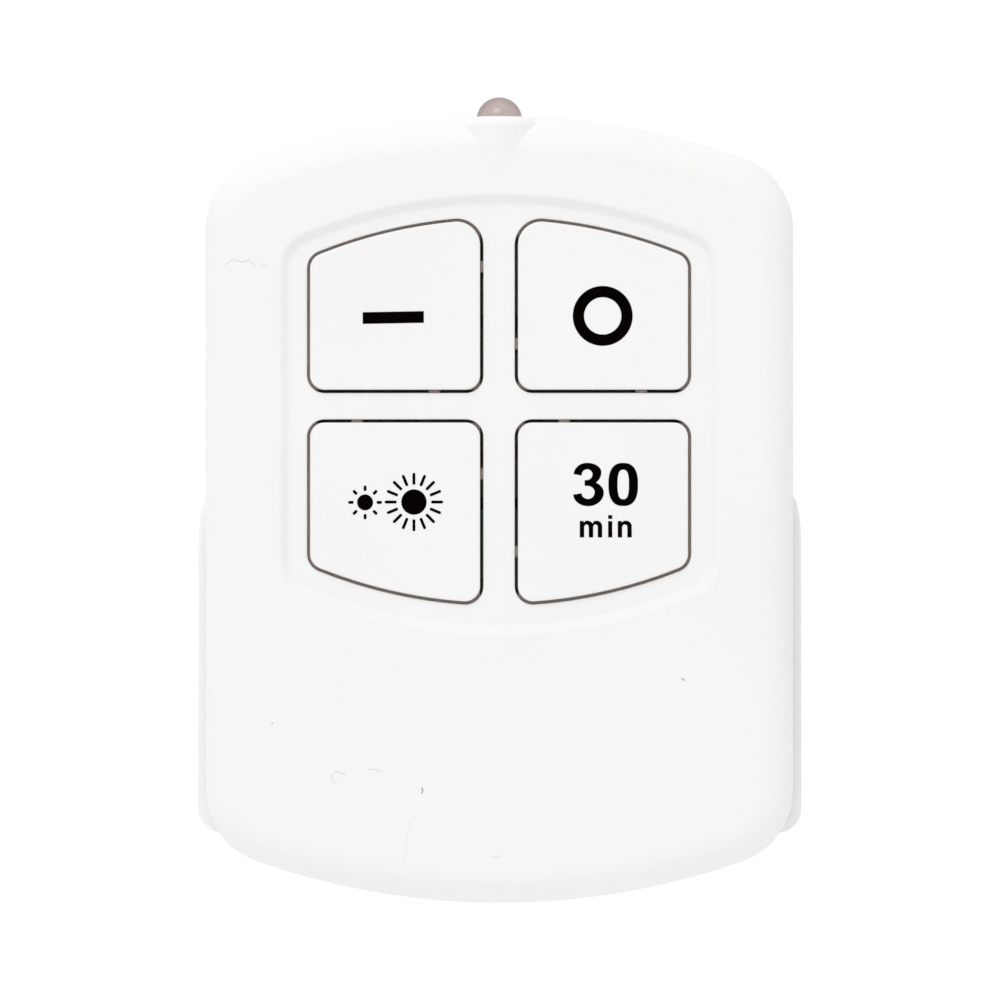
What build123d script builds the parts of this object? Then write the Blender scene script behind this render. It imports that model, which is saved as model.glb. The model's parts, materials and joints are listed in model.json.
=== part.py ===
from build123d import *
import math
import os

# Four-key infrared remote control, standing in its wall holder.
# X runs to the right as seen by the user, Z runs up, and the keys face -Y.
# The wall is the plane Y = 0, and the origin is the middle of the holder's wall face.

# Remote control: outline and depth
body_width = 64.0
body_height = 85.7
body_depth = 17.5
end_bow = 79.5
corner_radius = 8.2
front_round = 4.0
front_wall = 2.4
side_wall = 2.0
split_depth = 8.8
rear_step = 0.9
rear_wall = 2.4
rear_draft = 4.4
rear_chamfer = 1.8
lip_height = 1.2
lip_wall = 1.0
lip_gap = 0.1
lip_corner_gap = 9.0
catch_reach = 0.5
catch_height = 0.6
catch_width = 6.0
catch_side = 14.0
catch_gap = 0.1

# Key field
key_side_margin = 11.18
key_top_margin = 11.1
post_width = 3.4
bar_width = 2.86
bar_height = 11.2
key_bow = 52.7
key_far_corner = 2.0
key_bar_corner = 1.9
key_hood_corner = 2.9
recess_depth = 0.8
recess_slope = 0.85
recess_side_margin = 2.0
recess_top_margin = 1.52
recess_foot_margin = 2.16
recess_corner = 3.2

# Keys and their flexing links
key_gap = 0.36
key_stand = 0.6
key_cap = 1.8
key_wall = 1.0
key_travel = 0.35
key_rest_gap = 0.1
flange_width = 1.0
flange_thickness = 1.0
stem_size = 3.4
stem_rise = 0.9
link_run = 8.4
link_foot_width = 1.3
link_width = 0.9
link_thickness = 0.8
link_parting = 0.2

# Circuit board and what stands on it
board_thickness = 1.6
board_edge_gap = 0.4
board_led_gap = 0.3
board_bay_gap = 0.6
switch_size = 6.0
switch_height = 3.5
plunger_size = 3.2
plunger_rise = 1.5
plunger_gap = 0.25
plunger_sink = 1.4
terminal_length = 1.3
terminal_width = 0.7
terminal_thickness = 0.2
terminal_pitch = 4.5
chip_length = 5.0
chip_width = 4.0
chip_height = 1.5
pin_pitch = 1.27
pin_length = 1.0
pin_width = 0.45
pin_thickness = 0.25
resonator_length = 7.4
resonator_width = 3.4
resonator_height = 2.0
transistor_length = 2.9
transistor_width = 1.4
transistor_height = 1.1
component_gap = 1.0
capacitor_radius = 2.0
capacitor_height = 4.5
resistor_length = 2.0
resistor_width = 1.25
resistor_height = 0.5
resistor_spacing = 3.0
resistor_count = 4

# Infrared emitter and its hood
led_radius = 2.5
led_length = 8.6
led_flange_radius = 2.9
led_flange_length = 1.0
led_stand_out = 2.05
led_depth = 4.0
led_gap = 0.15
lead_size = 0.5
lead_pitch = 2.54
lead_drop = 1.7
lead_tail = 1.0
hood_mouth_radius = 4.75
hood_length = 7.5
hood_drop = 0.25
hood_rim = 0.7
barrel_wall = 0.7
mouth_chamfer = 0.4

# Cells, contacts and battery bay
cell_radius = 5.25
cell_length = 44.5
nub_radius = 1.9
nub_length = 0.8
cell_spacing = 11.2
cell_gap = 0.3
contact_thickness = 0.4
contact_width = 6.0
contact_height = 8.6
contact_gap = 0.1
leaf_rise = 3.5
leaf_width = 4.0
bump_rise = 1.0
bump_size = 2.8
tab_width = 1.5
tab_overlap = 2.1
bay_wall = 1.2
bay_foot_margin = 7.5
bay_top_gap = 0.4
bay_corner = 2.0

# Battery cover
cover_thickness = 1.8
cover_overlap = 2.0
cover_gap = 0.15
cover_ledge = 1.5
tongue_width = 0.9
tongue_thickness = 0.7
tongue_gap = 0.2
tongue_length = 22.0
grip_width = 16.0
grip_groove = 0.5
grip_pitch = 1.8
grip_count = 5

# Case screws and board clamps
screw_key_gap = 1.05
screw_top_drop = 4.95
clamp_rise = 3.95
clamp_size = 4.0
screw_radius = 1.1
screw_length = 8.0
screw_head_radius = 2.2
screw_head_height = 1.4
screw_gap = 0.3
pilot_gap = 0.05
boss_radius = 2.6
boss_root = 0.2
boss_floor = 1.0
post_size = 7.0
seat_depth = 13.6

# Wall holder
holder_height = 37.2
holder_drop = 16.9
holder_plate = 2.5
holder_foot_radius = 1.9
holder_foot_rise = 1.6
holder_foot_run = 2.25
flank_show = 1.15
flank_round = 5.6
dock_gap = 0.3
rib_width = 1.2
rib_depth = 1.4
rib_below_round = 0.5
hole_spacing = 22.0
hole_radius = 2.1
sink_radius = 3.6

# Levels that follow from the sizes above, as depths behind the front face
recess_floor = recess_depth
key_face = recess_depth - key_stand
flange_front = front_wall + key_rest_gap
flange_back = flange_front + flange_thickness
stem_end = flange_back + stem_rise
board_front = stem_end + plunger_rise + switch_height
board_back = board_front + board_thickness
cover_front = body_depth - cover_thickness
cell_depth = cover_front - cell_gap - cell_radius
bay_floor = cell_depth - cell_radius - cell_gap
front_y = -(holder_plate + dock_gap + body_depth)
half_width = body_width / 2
half_height = body_height / 2

# Heights above the middle of the remote: the cells from the foot up, then the keys above their bay
bay_foot = bay_foot_margin - half_height
lower_cell_z = bay_foot + cell_gap + cell_radius
upper_cell_z = lower_cell_z + cell_spacing
bay_top = upper_cell_z + cell_radius + cell_gap
cover_top = bay_top + cover_overlap
upper_bar = bar_height + bar_width / 2
lower_bar = bar_height - bar_width / 2
upper_apex = half_height - key_top_margin
lower_apex = bay_top + bay_wall + bay_top_gap + flange_width
board_foot = bay_top + bay_wall + board_bay_gap
screw_z = upper_apex - screw_top_drop
clamp_z = lower_apex + clamp_rise
led_tip = half_height + led_stand_out
led_base = led_tip - led_length
lead_z = led_base - lead_drop
board_top = led_base - board_led_gap

# Distances from the middle line to either side
keys_half = half_width - key_side_margin
screw_x = keys_half + flange_width + screw_key_gap + boss_radius
bay_length = cell_length + leaf_rise + bump_rise + 2 * contact_thickness + 2 * contact_gap
bay_half = bay_length / 2
cover_half = bay_half + cover_overlap

# Columns count from the left, rows from the foot: each key has its own column and row sign
keys = {"on": (-1, 1), "off": (1, 1), "dimmer": (-1, -1), "timer": (1, -1)}


def face_plane(depth):
    """Plane across the remote at a depth behind its front face, seen from the front."""
    return Plane(origin=(0, front_y + depth, holder_drop), x_dir=(1, 0, 0), z_dir=(0, -1, 0))


def slab(sketch, front, back):
    """Solid with the sketch's outline between two depths."""
    return extrude(face_plane(back) * sketch, amount=back - front)


def block(x0, x1, front, back, z0, z1):
    """Plain block between two sides, two depths and two heights."""
    return slab(Pos((x0 + x1) / 2, (z0 + z1) / 2) * Rectangle(x1 - x0, z1 - z0), front, back)


def peg(x, z, radius, front, back):
    """Round peg along the depth."""
    return slab(Pos(x, z) * Circle(radius), front, back)


def upright(radius, depth, z0, z1):
    """Round bar along the height, in the middle of the remote."""
    middle = (0, front_y + depth, holder_drop + (z0 + z1) / 2)
    return Pos(*middle) * Cylinder(radius, z1 - z0)


def bowed_outline(half, top, foot, bow, corner):
    """Outline with straight sides, bowed ends and rounded corners."""
    outline = Pos(0, (top + foot) / 2) * Rectangle(2 * half, top - foot)
    outline &= Pos(0, top - bow) * Circle(bow)
    outline &= Pos(0, foot + bow) * Circle(bow)
    return fillet(outline.vertices(), corner)


def case_outline(inset):
    """Outline of the case, drawn in by an even margin."""
    reach = half_height - inset
    return bowed_outline(half_width - inset, reach, -reach, end_bow - inset, corner_radius - inset)


def recess_outline(margin):
    """Floor of the key recess, let out by an even margin."""
    half = keys_half + recess_side_margin + margin
    top = upper_apex + recess_top_margin + margin
    foot = lower_apex - recess_foot_margin - margin
    bow = key_bow + recess_top_margin + margin
    return bowed_outline(half, top, foot, bow, recess_corner + margin)


def key_middle(column, row):
    """Middle of a key: half-way across its column and between its bar and its bow."""
    x = column * (post_width / 2 + keys_half) / 2
    z = (upper_bar + upper_apex) / 2 if row > 0 else (lower_bar + lower_apex) / 2
    return x, z


def key_blank(column, row, inset):
    """Opening for one key before its corners are rounded, drawn in by an even margin."""
    inner = post_width / 2 + inset
    outer = keys_half - inset
    bar = (upper_bar if row > 0 else lower_bar) + row * inset
    apex = (upper_apex if row > 0 else lower_apex) - row * inset
    bow = key_bow - inset
    middle = Pos(column * (inner + outer) / 2, (bar + apex) / 2)
    outline = middle * Rectangle(outer - inner, abs(apex - bar))
    return outline & Pos(0, apex - row * bow) * Circle(bow)


def key_outline(column, row, inset):
    """Opening for one key, drawn in by an even margin; the corner next to the hood is the roundest."""
    outline = key_blank(column, row, inset)
    bar = (upper_bar if row > 0 else lower_bar) + row * inset
    inner = post_width / 2 + inset
    outer = keys_half - inset
    for side, corner in ((inner, key_hood_corner if row > 0 else key_far_corner), (outer, key_far_corner)):
        far = [v for v in outline.vertices() if abs(v.Y - bar) > key_bar_corner]
        outline = fillet([v for v in far if abs(abs(v.X) - side) < 0.001], corner - inset)
    near = [v for v in outline.vertices() if abs(v.Y - bar) < 0.001]
    return fillet(near, key_bar_corner - inset)


def ring(outer, inner):
    """Band between two outlines."""
    return outer - inner


def hood_cone(foot, mouth):
    """Cone round the emitter: it widens to the mouth and sinks into the front face below."""
    slope = (hood_mouth_radius - led_depth) / hood_length
    mouth_radius = hood_mouth_radius - slope * (half_height - mouth)
    foot_radius = hood_mouth_radius - slope * (half_height - foot)
    middle = (0, front_y + led_depth, holder_drop + (mouth + foot) / 2)
    return Pos(*middle) * Cone(foot_radius, mouth_radius, mouth - foot)


def hood():
    """Hood over the emitter: its top stands a little below the case's and its rim is chamfered."""
    form = hood_cone(half_height - hood_length, half_height - hood_drop)
    return chamfer(form.faces().sort_by(Axis.Z)[-1].edges(), hood_rim)


def screw_places():
    """The two case screws in the upper corners, as sides and heights."""
    return [(side * screw_x, screw_z) for side in (-1, 1)]


def pad_pair(size, z, front, back):
    """Two square pads in line with the case screws, at one height and between two depths."""
    pad = block(screw_x - size / 2, screw_x + size / 2, front, back, z - size / 2, z + size / 2)
    return pad + block(-screw_x - size / 2, size / 2 - screw_x, front, back, z - size / 2, z + size / 2)


def foot_catches(reach, root, room):
    """Two catches along the foot of the case, from an outer to an inner inset, with room all round."""
    band = ring(case_outline(reach), case_outline(root))
    width = catch_width + 2 * room
    windows = Pos(-catch_side, -half_height) * Rectangle(width, half_height)
    windows += Pos(catch_side, -half_height) * Rectangle(width, half_height)
    front = split_depth - lip_height
    return slab(band & windows, front - room, front + catch_height + room)


def front_shell():
    """Front half of the case, with the recess, the key openings, the hood and the bosses."""
    case = slab(case_outline(0), 0, split_depth)
    face = case.faces().sort_by(Axis.Y)[0]
    case = fillet(face.edges(), front_round)
    shell = case + hood()
    shell -= slab(case_outline(side_wall), front_wall, split_depth)
    barrel_back = led_depth + led_radius + led_gap + barrel_wall
    barrel_foot = led_base + led_flange_length + led_gap
    barrel = hood_cone(barrel_foot, half_height)
    barrel &= slab(case_outline(side_wall / 2), front_wall - boss_root, barrel_back)
    shell += barrel
    top = face_plane(0) * recess_outline(recess_slope)
    floor = face_plane(recess_floor) * recess_outline(0)
    shell -= loft([top.face(), floor.face()], ruled=True)
    for column, row in keys.values():
        shell -= slab(key_outline(column, row, 0), 0, flange_front)
    hole = led_radius + led_gap
    shell -= upright(hole, led_depth, led_base, led_tip)
    pocket = led_flange_radius + led_gap
    shell -= upright(pocket, led_depth, lead_z, barrel_foot)
    mouth = half_height - mouth_chamfer / 2
    middle = (0, front_y + led_depth, holder_drop + mouth)
    shell -= Pos(*middle) * Cone(hole, hole + mouth_chamfer, mouth_chamfer)
    shell += peg_group(boss_radius, front_wall - boss_root, board_front)
    shell -= peg_group(screw_radius + pilot_gap, front_wall + boss_floor, board_front)
    shell += pad_pair(clamp_size, clamp_z, front_wall - boss_root, board_front)
    return shell - foot_catches(side_wall - catch_reach - catch_gap, side_wall, catch_gap)


def rear_form():
    """Outer form of the back of the case, drafted from the split and chamfered round its back."""
    split = Plane(origin=(0, front_y + split_depth, holder_drop), x_dir=(1, 0, 0), z_dir=(0, 1, 0))
    form = extrude(split * case_outline(rear_step), amount=body_depth - split_depth)
    walls = form.faces().sort_by(Axis.Y)[1:-1]
    form = draft(walls, split, rear_draft)
    return chamfer(form.faces().sort_by(Axis.Y)[-1].edges(), rear_chamfer)


def rear_shell():
    """Back half of the case, with the battery bay, the screw posts and the holder's guide steps."""
    form = rear_form()
    room = slab(case_outline(rear_step + rear_wall), split_depth, body_depth - rear_wall)
    shell = form - room
    lip = ring(case_outline(side_wall + lip_gap), case_outline(side_wall + lip_gap + lip_wall))
    free = half_width - lip_corner_gap
    lip &= Rectangle(2 * free, body_height) + Rectangle(body_width, 2 * (half_height - body_width / 2 + free))
    shell += slab(lip, split_depth - lip_height, split_depth)
    shell += foot_catches(side_wall - catch_reach, side_wall + lip_gap + lip_wall / 2, 0)
    shell += pad_pair(post_size, screw_z, board_back, body_depth - rear_wall)
    shell += pad_pair(clamp_size, clamp_z, board_back, body_depth - rear_wall)
    ledge = Pos(0, (cover_top - half_height) / 2) * Rectangle(2 * cover_half, cover_top + half_height)
    ledge &= case_outline(rear_step + rear_wall / 2)
    shell += slab(ledge, cover_front - cover_ledge, cover_front)
    bay_size = (bay_length + 2 * bay_wall, bay_top - bay_foot + 2 * bay_wall)
    bay_place = Pos(0, (bay_top + bay_foot) / 2)
    shell += slab(bay_place * RectangleRounded(*bay_size, bay_corner), bay_floor - bay_wall, cover_front)
    shell -= block(-bay_half, bay_half, bay_floor, body_depth, bay_foot, bay_top)
    shell -= block(-cover_half, cover_half, cover_front, body_depth, -half_height, cover_top)
    slot = cover_half + tongue_width + tongue_gap
    slot_back = cover_front + tongue_thickness + tongue_gap
    shell -= block(-slot, slot, cover_front, slot_back, -half_height, cover_top - cover_overlap / 2)
    shell -= peg_group(screw_radius + screw_gap, board_back, body_depth)
    shell -= peg_group(screw_head_radius + screw_gap, seat_depth, body_depth)
    guide_in = half_width - rear_step - rib_width
    guide_back = split_depth + dock_gap + rib_depth + dock_gap
    for side in (-1, 1):
        edges = sorted((side * guide_in, side * half_width))
        shell -= block(edges[0], edges[1], split_depth, guide_back, -half_height, rib_top() - holder_drop)
    for tab in contact_slots():
        shell -= tab
    return shell


def peg_group(radius, front, back):
    """Pegs along the depth, one at each case screw."""
    places = screw_places()
    group = peg(places[0][0], places[0][1], radius, front, back)
    for x, z in places[1:]:
        group += peg(x, z, radius, front, back)
    return group


def rib_top():
    """Height of the upper end of the holder's guide ribs, where the remote's guide steps stop."""
    return holder_height / 2 - flank_round - rib_below_round


def battery_cover():
    """Sliding cover: cut from the back of the case, with side tongues and finger grooves."""
    edge = cover_half - cover_gap
    cover = rear_form() & block(-edge, edge, cover_front, body_depth, -half_height, cover_top - cover_gap)
    tongue_top = cover_top - cover_overlap
    wide = cover_half + tongue_width
    front = cover_front + tongue_gap / 2
    cover += block(-wide, wide, front, front + tongue_thickness, tongue_top - tongue_length, tongue_top)
    for step in range(grip_count):
        z = cover_top - cover_overlap - grip_pitch * (step + 1)
        groove = face_plane(body_depth) * Pos(0, z) * Rectangle(grip_width, grip_pitch / 2)
        cover -= extrude(groove, amount=grip_groove)
    return cover


def key(column, row):
    """One key: hollow cap, holding flange along the case side, stem and half of two links."""
    face = key_outline(column, row, key_gap)
    cap = slab(face, key_face, key_face + key_cap)
    hollow = key_blank(column, row, key_gap + key_wall)
    cap += slab(ring(face, hollow), key_face + key_cap, flange_back)
    wide = key_blank(column, row, -flange_width)
    inner = post_width / 2 + key_gap
    bar = (upper_bar if row > 0 else lower_bar) + row * key_gap
    span = Pos(column * (inner + half_width / 2), bar + row * half_height / 2)
    wide &= span * Rectangle(half_width, half_height)
    cap += slab(ring(wide, hollow), flange_front, flange_back)
    x, z = key_middle(column, row)
    half = stem_size / 2
    cap += block(x - half, x + half, key_face + key_cap, stem_end, z - half, z + half)
    cap += post_link(column, row, inner, z)
    cap += bar_link(column, row, x, bar)
    return cap


def post_link(column, row, inner, z):
    """Half of the bent link to the key in the other column."""
    z0 = z - column * link_run / 2
    z1 = z - column * link_parting / 2
    back = flange_front + link_thickness
    side = sorted((column * (inner + key_wall / 2), -column * link_width / 2))
    low = z0 - link_foot_width / 2
    foot = block(side[0], side[1], flange_front, back, low, low + link_foot_width)
    ends = sorted((z0, z1))
    return foot + block(-link_width / 2, link_width / 2, flange_front, back, ends[0], ends[1])


def bar_link(column, row, x, bar):
    """Half of the bent link to the key in the other row."""
    x0 = x + row * link_run / 2
    x1 = x + row * link_parting / 2
    back = flange_front + link_thickness
    side = sorted((bar + row * key_wall / 2, bar_height - row * link_width / 2))
    left = x0 - link_foot_width / 2
    foot = block(left, left + link_foot_width, flange_front, back, side[0], side[1])
    ends = sorted((x0, x1))
    low = bar_height - link_width / 2
    return foot + block(ends[0], ends[1], flange_front, back, low, low + link_width)


def switch_base(column, row):
    """Push-switch housing on the board, with the bore for its plunger."""
    x, z = key_middle(column, row)
    half = switch_size / 2
    front = board_front - switch_height
    base = block(x - half, x + half, front, board_front, z - half, z + half)
    room = plunger_size / 2 + plunger_gap
    return base - block(x - room, x + room, front, front + plunger_sink + 2 * key_travel, z - room, z + room)


def switch_plunger(column, row):
    """Push-switch plunger, from the key's stem into the housing."""
    x, z = key_middle(column, row)
    half = plunger_size / 2
    return block(x - half, x + half, stem_end, board_front - switch_height + plunger_sink, z - half, z + half)


def switch_terminals():
    """Four soldered terminals at each push switch."""
    terminals = []
    for column, row in keys.values():
        x, z = key_middle(column, row)
        for side in (-1, 1):
            for end in (-1, 1):
                x0 = x + side * switch_size / 2
                ends = sorted((x0, x0 + side * terminal_length))
                middle = z + end * terminal_pitch / 2
                low = middle - terminal_width / 2
                front = board_front - terminal_thickness
                terminals.append(block(ends[0], ends[1], front, board_front, low, low + terminal_width))
    return Compound(children=terminals)


def circuit_board():
    """Board across the upper part of the case, clamped at the screws, notched for the contacts."""
    outline = case_outline(rear_step + rear_wall + board_edge_gap)
    outline &= Pos(0, (board_top + board_foot) / 2) * Rectangle(body_width, board_top - board_foot)
    board = slab(outline, board_front, board_back)
    board -= peg_group(screw_radius + screw_gap, board_front, board_back)
    for side in (-1, 1):
        x = side * lead_pitch / 2
        room = lead_size
        board -= block(x - room, x + room, board_front, board_back, lead_z - room, lead_z + room)
    for slot in contact_slots():
        board -= slot
    return board


def infrared_led():
    """Emitter lens: domed round body with a flange at its foot."""
    body = upright(led_radius, led_depth, led_base, led_tip - led_radius)
    body += upright(led_flange_radius, led_depth, led_base, led_base + led_flange_length)
    dome = Pos(0, front_y + led_depth, holder_drop + led_tip - led_radius) * Sphere(led_radius)
    return body + dome


def led_leads():
    """Two bent leads from the emitter through the board."""
    leads = []
    for side in (-1, 1):
        x0 = side * lead_pitch / 2 - lead_size / 2
        x1 = x0 + lead_size
        low = lead_z - lead_size / 2
        lead = block(x0, x1, led_depth - lead_size / 2, led_depth + lead_size / 2, low, led_base)
        lead += block(x0, x1, led_depth - lead_size / 2, board_back + lead_tail, low, low + lead_size)
        leads.append(lead)
    return Compound(children=leads)


def on_board(x, z, length, height, width):
    """Block that stands on the board, given by its middle, length, height and width."""
    front = board_front - height
    return block(x - length / 2, x + length / 2, front, board_front, z - width / 2, z + width / 2)


def encoder_chip():
    """Code chip in the middle of the board."""
    return on_board(0, bar_height, chip_width, chip_height, chip_length)


def chip_pins():
    """Four pins down each side of the code chip."""
    pins = []
    for side in (-1, 1):
        for step in range(4):
            z = bar_height + (step - 1.5) * pin_pitch
            x = side * (chip_width + pin_length) / 2
            pins.append(on_board(x, z, pin_length, pin_thickness, pin_width))
    return Compound(children=pins)


def resonator():
    """Ceramic resonator below the code chip."""
    z = bar_height - chip_length / 2 - resonator_width
    return on_board(0, z, resonator_length, resonator_height, resonator_width)


def driver_transistor():
    """Transistor that drives the emitter."""
    z = bar_height + chip_length / 2 + transistor_width + component_gap
    return on_board(0, z, transistor_length, transistor_height, transistor_width)


def reservoir_capacitor():
    """Round capacitor between the upper switches."""
    z = bar_height + chip_length / 2 + 2 * transistor_width + capacitor_radius + 2 * component_gap
    return peg(0, z, capacitor_radius, board_front - capacitor_height, board_front)


def resistors():
    """Row of small resistors below the resonator."""
    z = bar_height - chip_length / 2 - 2 * resonator_width - resistor_width
    row = []
    for step in range(resistor_count):
        x = (step - (resistor_count - 1) / 2) * resistor_spacing
        row.append(on_board(x, z, resistor_length, resistor_height, resistor_width))
    return Compound(children=row)


def cell(z, side):
    """One cell lying across the case, with its nub to the given side."""
    plain = cell_length - nub_length
    tip = bay_half - contact_thickness - bump_rise - contact_gap
    middle = tip - nub_length - plain / 2
    place = Pos(side * middle, front_y + cell_depth, holder_drop + z) * Rot(0, 90, 0)
    can = Cylinder(cell_radius, plain)
    nub = Pos(0, 0, side * (plain + nub_length) / 2) * Cylinder(nub_radius, nub_length)
    return place * (can + nub)


def contact_plate(z, side, height):
    """Flat contact against one end wall of the bay."""
    ends = sorted((side * bay_half, side * (bay_half - contact_thickness)))
    front = cell_depth - contact_width / 2
    return block(ends[0], ends[1], front, front + contact_width, z - height / 2, z + height / 2)


def contact_bump(z, side):
    """Raised bump that meets a cell's nub."""
    start = bay_half - contact_thickness
    ends = sorted((side * start, side * (start - bump_rise)))
    half = bump_size / 2
    return block(ends[0], ends[1], cell_depth - half, cell_depth + half, z - half, z + half)


def contact_leaf(z, side):
    """Bowed leaf that presses on a cell's flat end."""
    start = side * (bay_half - contact_thickness)
    bow = Circle(leaf_rise) - Circle(leaf_rise - contact_thickness)
    bow &= Pos(-side * leaf_rise / 2, 0) * Rectangle(leaf_rise, 2 * leaf_rise)
    return slab(Pos(start, z) * bow, cell_depth - leaf_width / 2, cell_depth + leaf_width / 2)


def tab_sides():
    """Inner and outer side of each solder tab: in the bay for the positive, outside it for the negative."""
    outside = bay_half + bay_wall + contact_gap
    return [(bay_half - contact_thickness, bay_half), (outside, outside + contact_thickness)]


def tab_front():
    """Front edge of the solder tabs, in the thickness of the board."""
    return board_front + (board_thickness - tab_width) / 2


def contact_slots():
    """Slots with a little room round the solder tabs, through the bay's walls and the board."""
    front = tab_front() - contact_gap
    back = tab_front() + tab_width + contact_gap
    top = board_foot + tab_overlap + contact_gap
    positive, negative = tab_sides()
    slots = [block(positive[0] - contact_gap, positive[1], front, back, bay_top - bay_wall, top)]
    slots.append(block(negative[0] - contact_gap, negative[1] + contact_gap, front, back, bay_foot, top))
    low = lower_cell_z - contact_thickness / 2 - contact_gap
    high = low + contact_thickness + 2 * contact_gap
    slots.append(block(bay_half - contact_thickness, negative[0], front, back, low, high))
    return slots


def positive_contact():
    """Plate and bump at the upper cell's nub, with a tab up to the board."""
    side = tab_sides()[0]
    back = tab_front() + tab_width
    contact = contact_plate(upper_cell_z, 1, contact_height) + contact_bump(upper_cell_z, 1)
    return contact + block(side[0], side[1], tab_front(), back, upper_cell_z, board_foot + tab_overlap)


def negative_contact():
    """Plate and leaf at the lower cell's flat end, with a strip outside the bay up to the board."""
    side = tab_sides()[1]
    back = tab_front() + tab_width
    contact = contact_plate(lower_cell_z, 1, contact_height) + contact_leaf(lower_cell_z, 1)
    low = lower_cell_z - contact_thickness / 2
    contact += block(bay_half - contact_thickness, side[1], tab_front(), back, low, low + contact_thickness)
    return contact + block(side[0], side[1], tab_front(), back, low, board_foot + tab_overlap)


def bridge_contact():
    """Plate across both cells at the other end, with one leaf and one bump."""
    middle = (upper_cell_z + lower_cell_z) / 2
    contact = contact_plate(middle, -1, cell_spacing + contact_height)
    return contact + contact_leaf(upper_cell_z, -1) + contact_bump(lower_cell_z, -1)


def case_screws():
    """Two case screws, from the back of the case into the front shell's bosses."""
    screws = []
    for x, z in screw_places():
        screw = peg(x, z, screw_radius, seat_depth - screw_length, seat_depth)
        screws.append(screw + peg(x, z, screw_head_radius, seat_depth, seat_depth + screw_head_height))
    return Compound(children=screws)


def wall_holder():
    """Wall holder: back plate, two flanks that lean with the case's draft, and a guide rib in each."""
    reach = -(front_y + split_depth) - dock_gap
    lean = math.tan(math.radians(rear_draft))
    outer = half_width + flank_show
    inner = half_width - rear_step + dock_gap
    rim = inner - dock_gap * lean
    plate_in = rim - (reach - holder_plate) * lean
    back = outer - reach * lean
    outside = Polygon((-outer, -reach), (outer, -reach), (back, 0), (-back, 0), align=None)
    floor = -holder_plate
    inside = Polygon((-rim, -reach), (rim, -reach), (plate_in, floor), (-plate_in, floor), align=None)
    profile = Plane.XY.offset(-holder_height / 2) * (outside - inside)
    holder = extrude(profile, amount=holder_height)
    top = holder_height / 2
    corner = Pos(-holder_plate - (reach - holder_plate) / 2, top - flank_round / 2)
    corner *= Rectangle(reach - holder_plate, flank_round)
    corner -= Pos(-holder_plate, top - flank_round) * Ellipse(reach - holder_plate, flank_round)
    holder -= extrude(Plane.YZ.offset(-outer) * corner, amount=2 * outer)
    for side in (-1, 1):
        ends = sorted((side * (inner - rib_width), side * (inner + outer) / 2))
        rib = Pos((ends[0] + ends[1]) / 2, -reach + rib_depth / 2, (rib_top() - top) / 2)
        holder += rib * Box(ends[1] - ends[0], rib_depth, rib_top() + top)
    foot = holder_foot_rise - top
    foot_in = outer - holder_foot_run
    front = Polygon(
        (-outer, top), (-outer, foot), (-foot_in, -top), (foot_in, -top), (outer, foot), (outer, top), align=None)
    front = fillet([v for v in front.vertices() if abs(v.Y - foot) < 0.001], holder_foot_radius)
    view = Plane(origin=(0, 0, 0), x_dir=(1, 0, 0), z_dir=(0, -1, 0))
    holder &= extrude(view * front, amount=reach)
    for end in (-1, 1):
        hole = Pos(0, -holder_plate / 2, end * hole_spacing / 2) * Rot(90, 0, 0)
        holder -= hole * Cylinder(hole_radius, holder_plate)
        sink = sink_radius - hole_radius
        holder -= hole * Pos(0, 0, (holder_plate - sink) / 2) * Cone(hole_radius, sink_radius, sink)
    return holder


def save(name, shape):
    export_step(shape, os.path.join("parts", name + ".step"))


def main():
    os.makedirs("parts", exist_ok=True)
    save("wall_holder", wall_holder())
    save("front_shell", front_shell())
    save("rear_shell", rear_shell())
    save("battery_cover", battery_cover())
    for name, (column, row) in keys.items():
        save(name + "_key", key(column, row))
        save(name + "_switch", switch_base(column, row))
        save(name + "_plunger", switch_plunger(column, row))
    save("switch_terminals", switch_terminals())
    save("circuit_board", circuit_board())
    save("infrared_led", infrared_led())
    save("led_leads", led_leads())
    save("encoder_chip", encoder_chip())
    save("chip_pins", chip_pins())
    save("resonator", resonator())
    save("driver_transistor", driver_transistor())
    save("reservoir_capacitor", reservoir_capacitor())
    save("resistors", resistors())
    save("upper_cell", cell(upper_cell_z, 1))
    save("lower_cell", cell(lower_cell_z, -1))
    save("positive_contact", positive_contact())
    save("negative_contact", negative_contact())
    save("bridge_contact", bridge_contact())
    save("case_screws", case_screws())


main()
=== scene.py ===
# %% [markdown]
# # Four-key remote control in its wall holder
#
# This lesson dresses a finished set of solids: a white infrared remote control that stands in a
# slide-in wall holder. The solids already have the right size and place, so each step here adds
# what the eye sees: rounded moulding edges, plastic grain, printed signs, the clear emitter, the
# cells behind their cover, a little lint, and soft studio light.

# %% Load the frame
import json
import math
import bmesh
import bpy
from mathutils import Matrix, Vector

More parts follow.
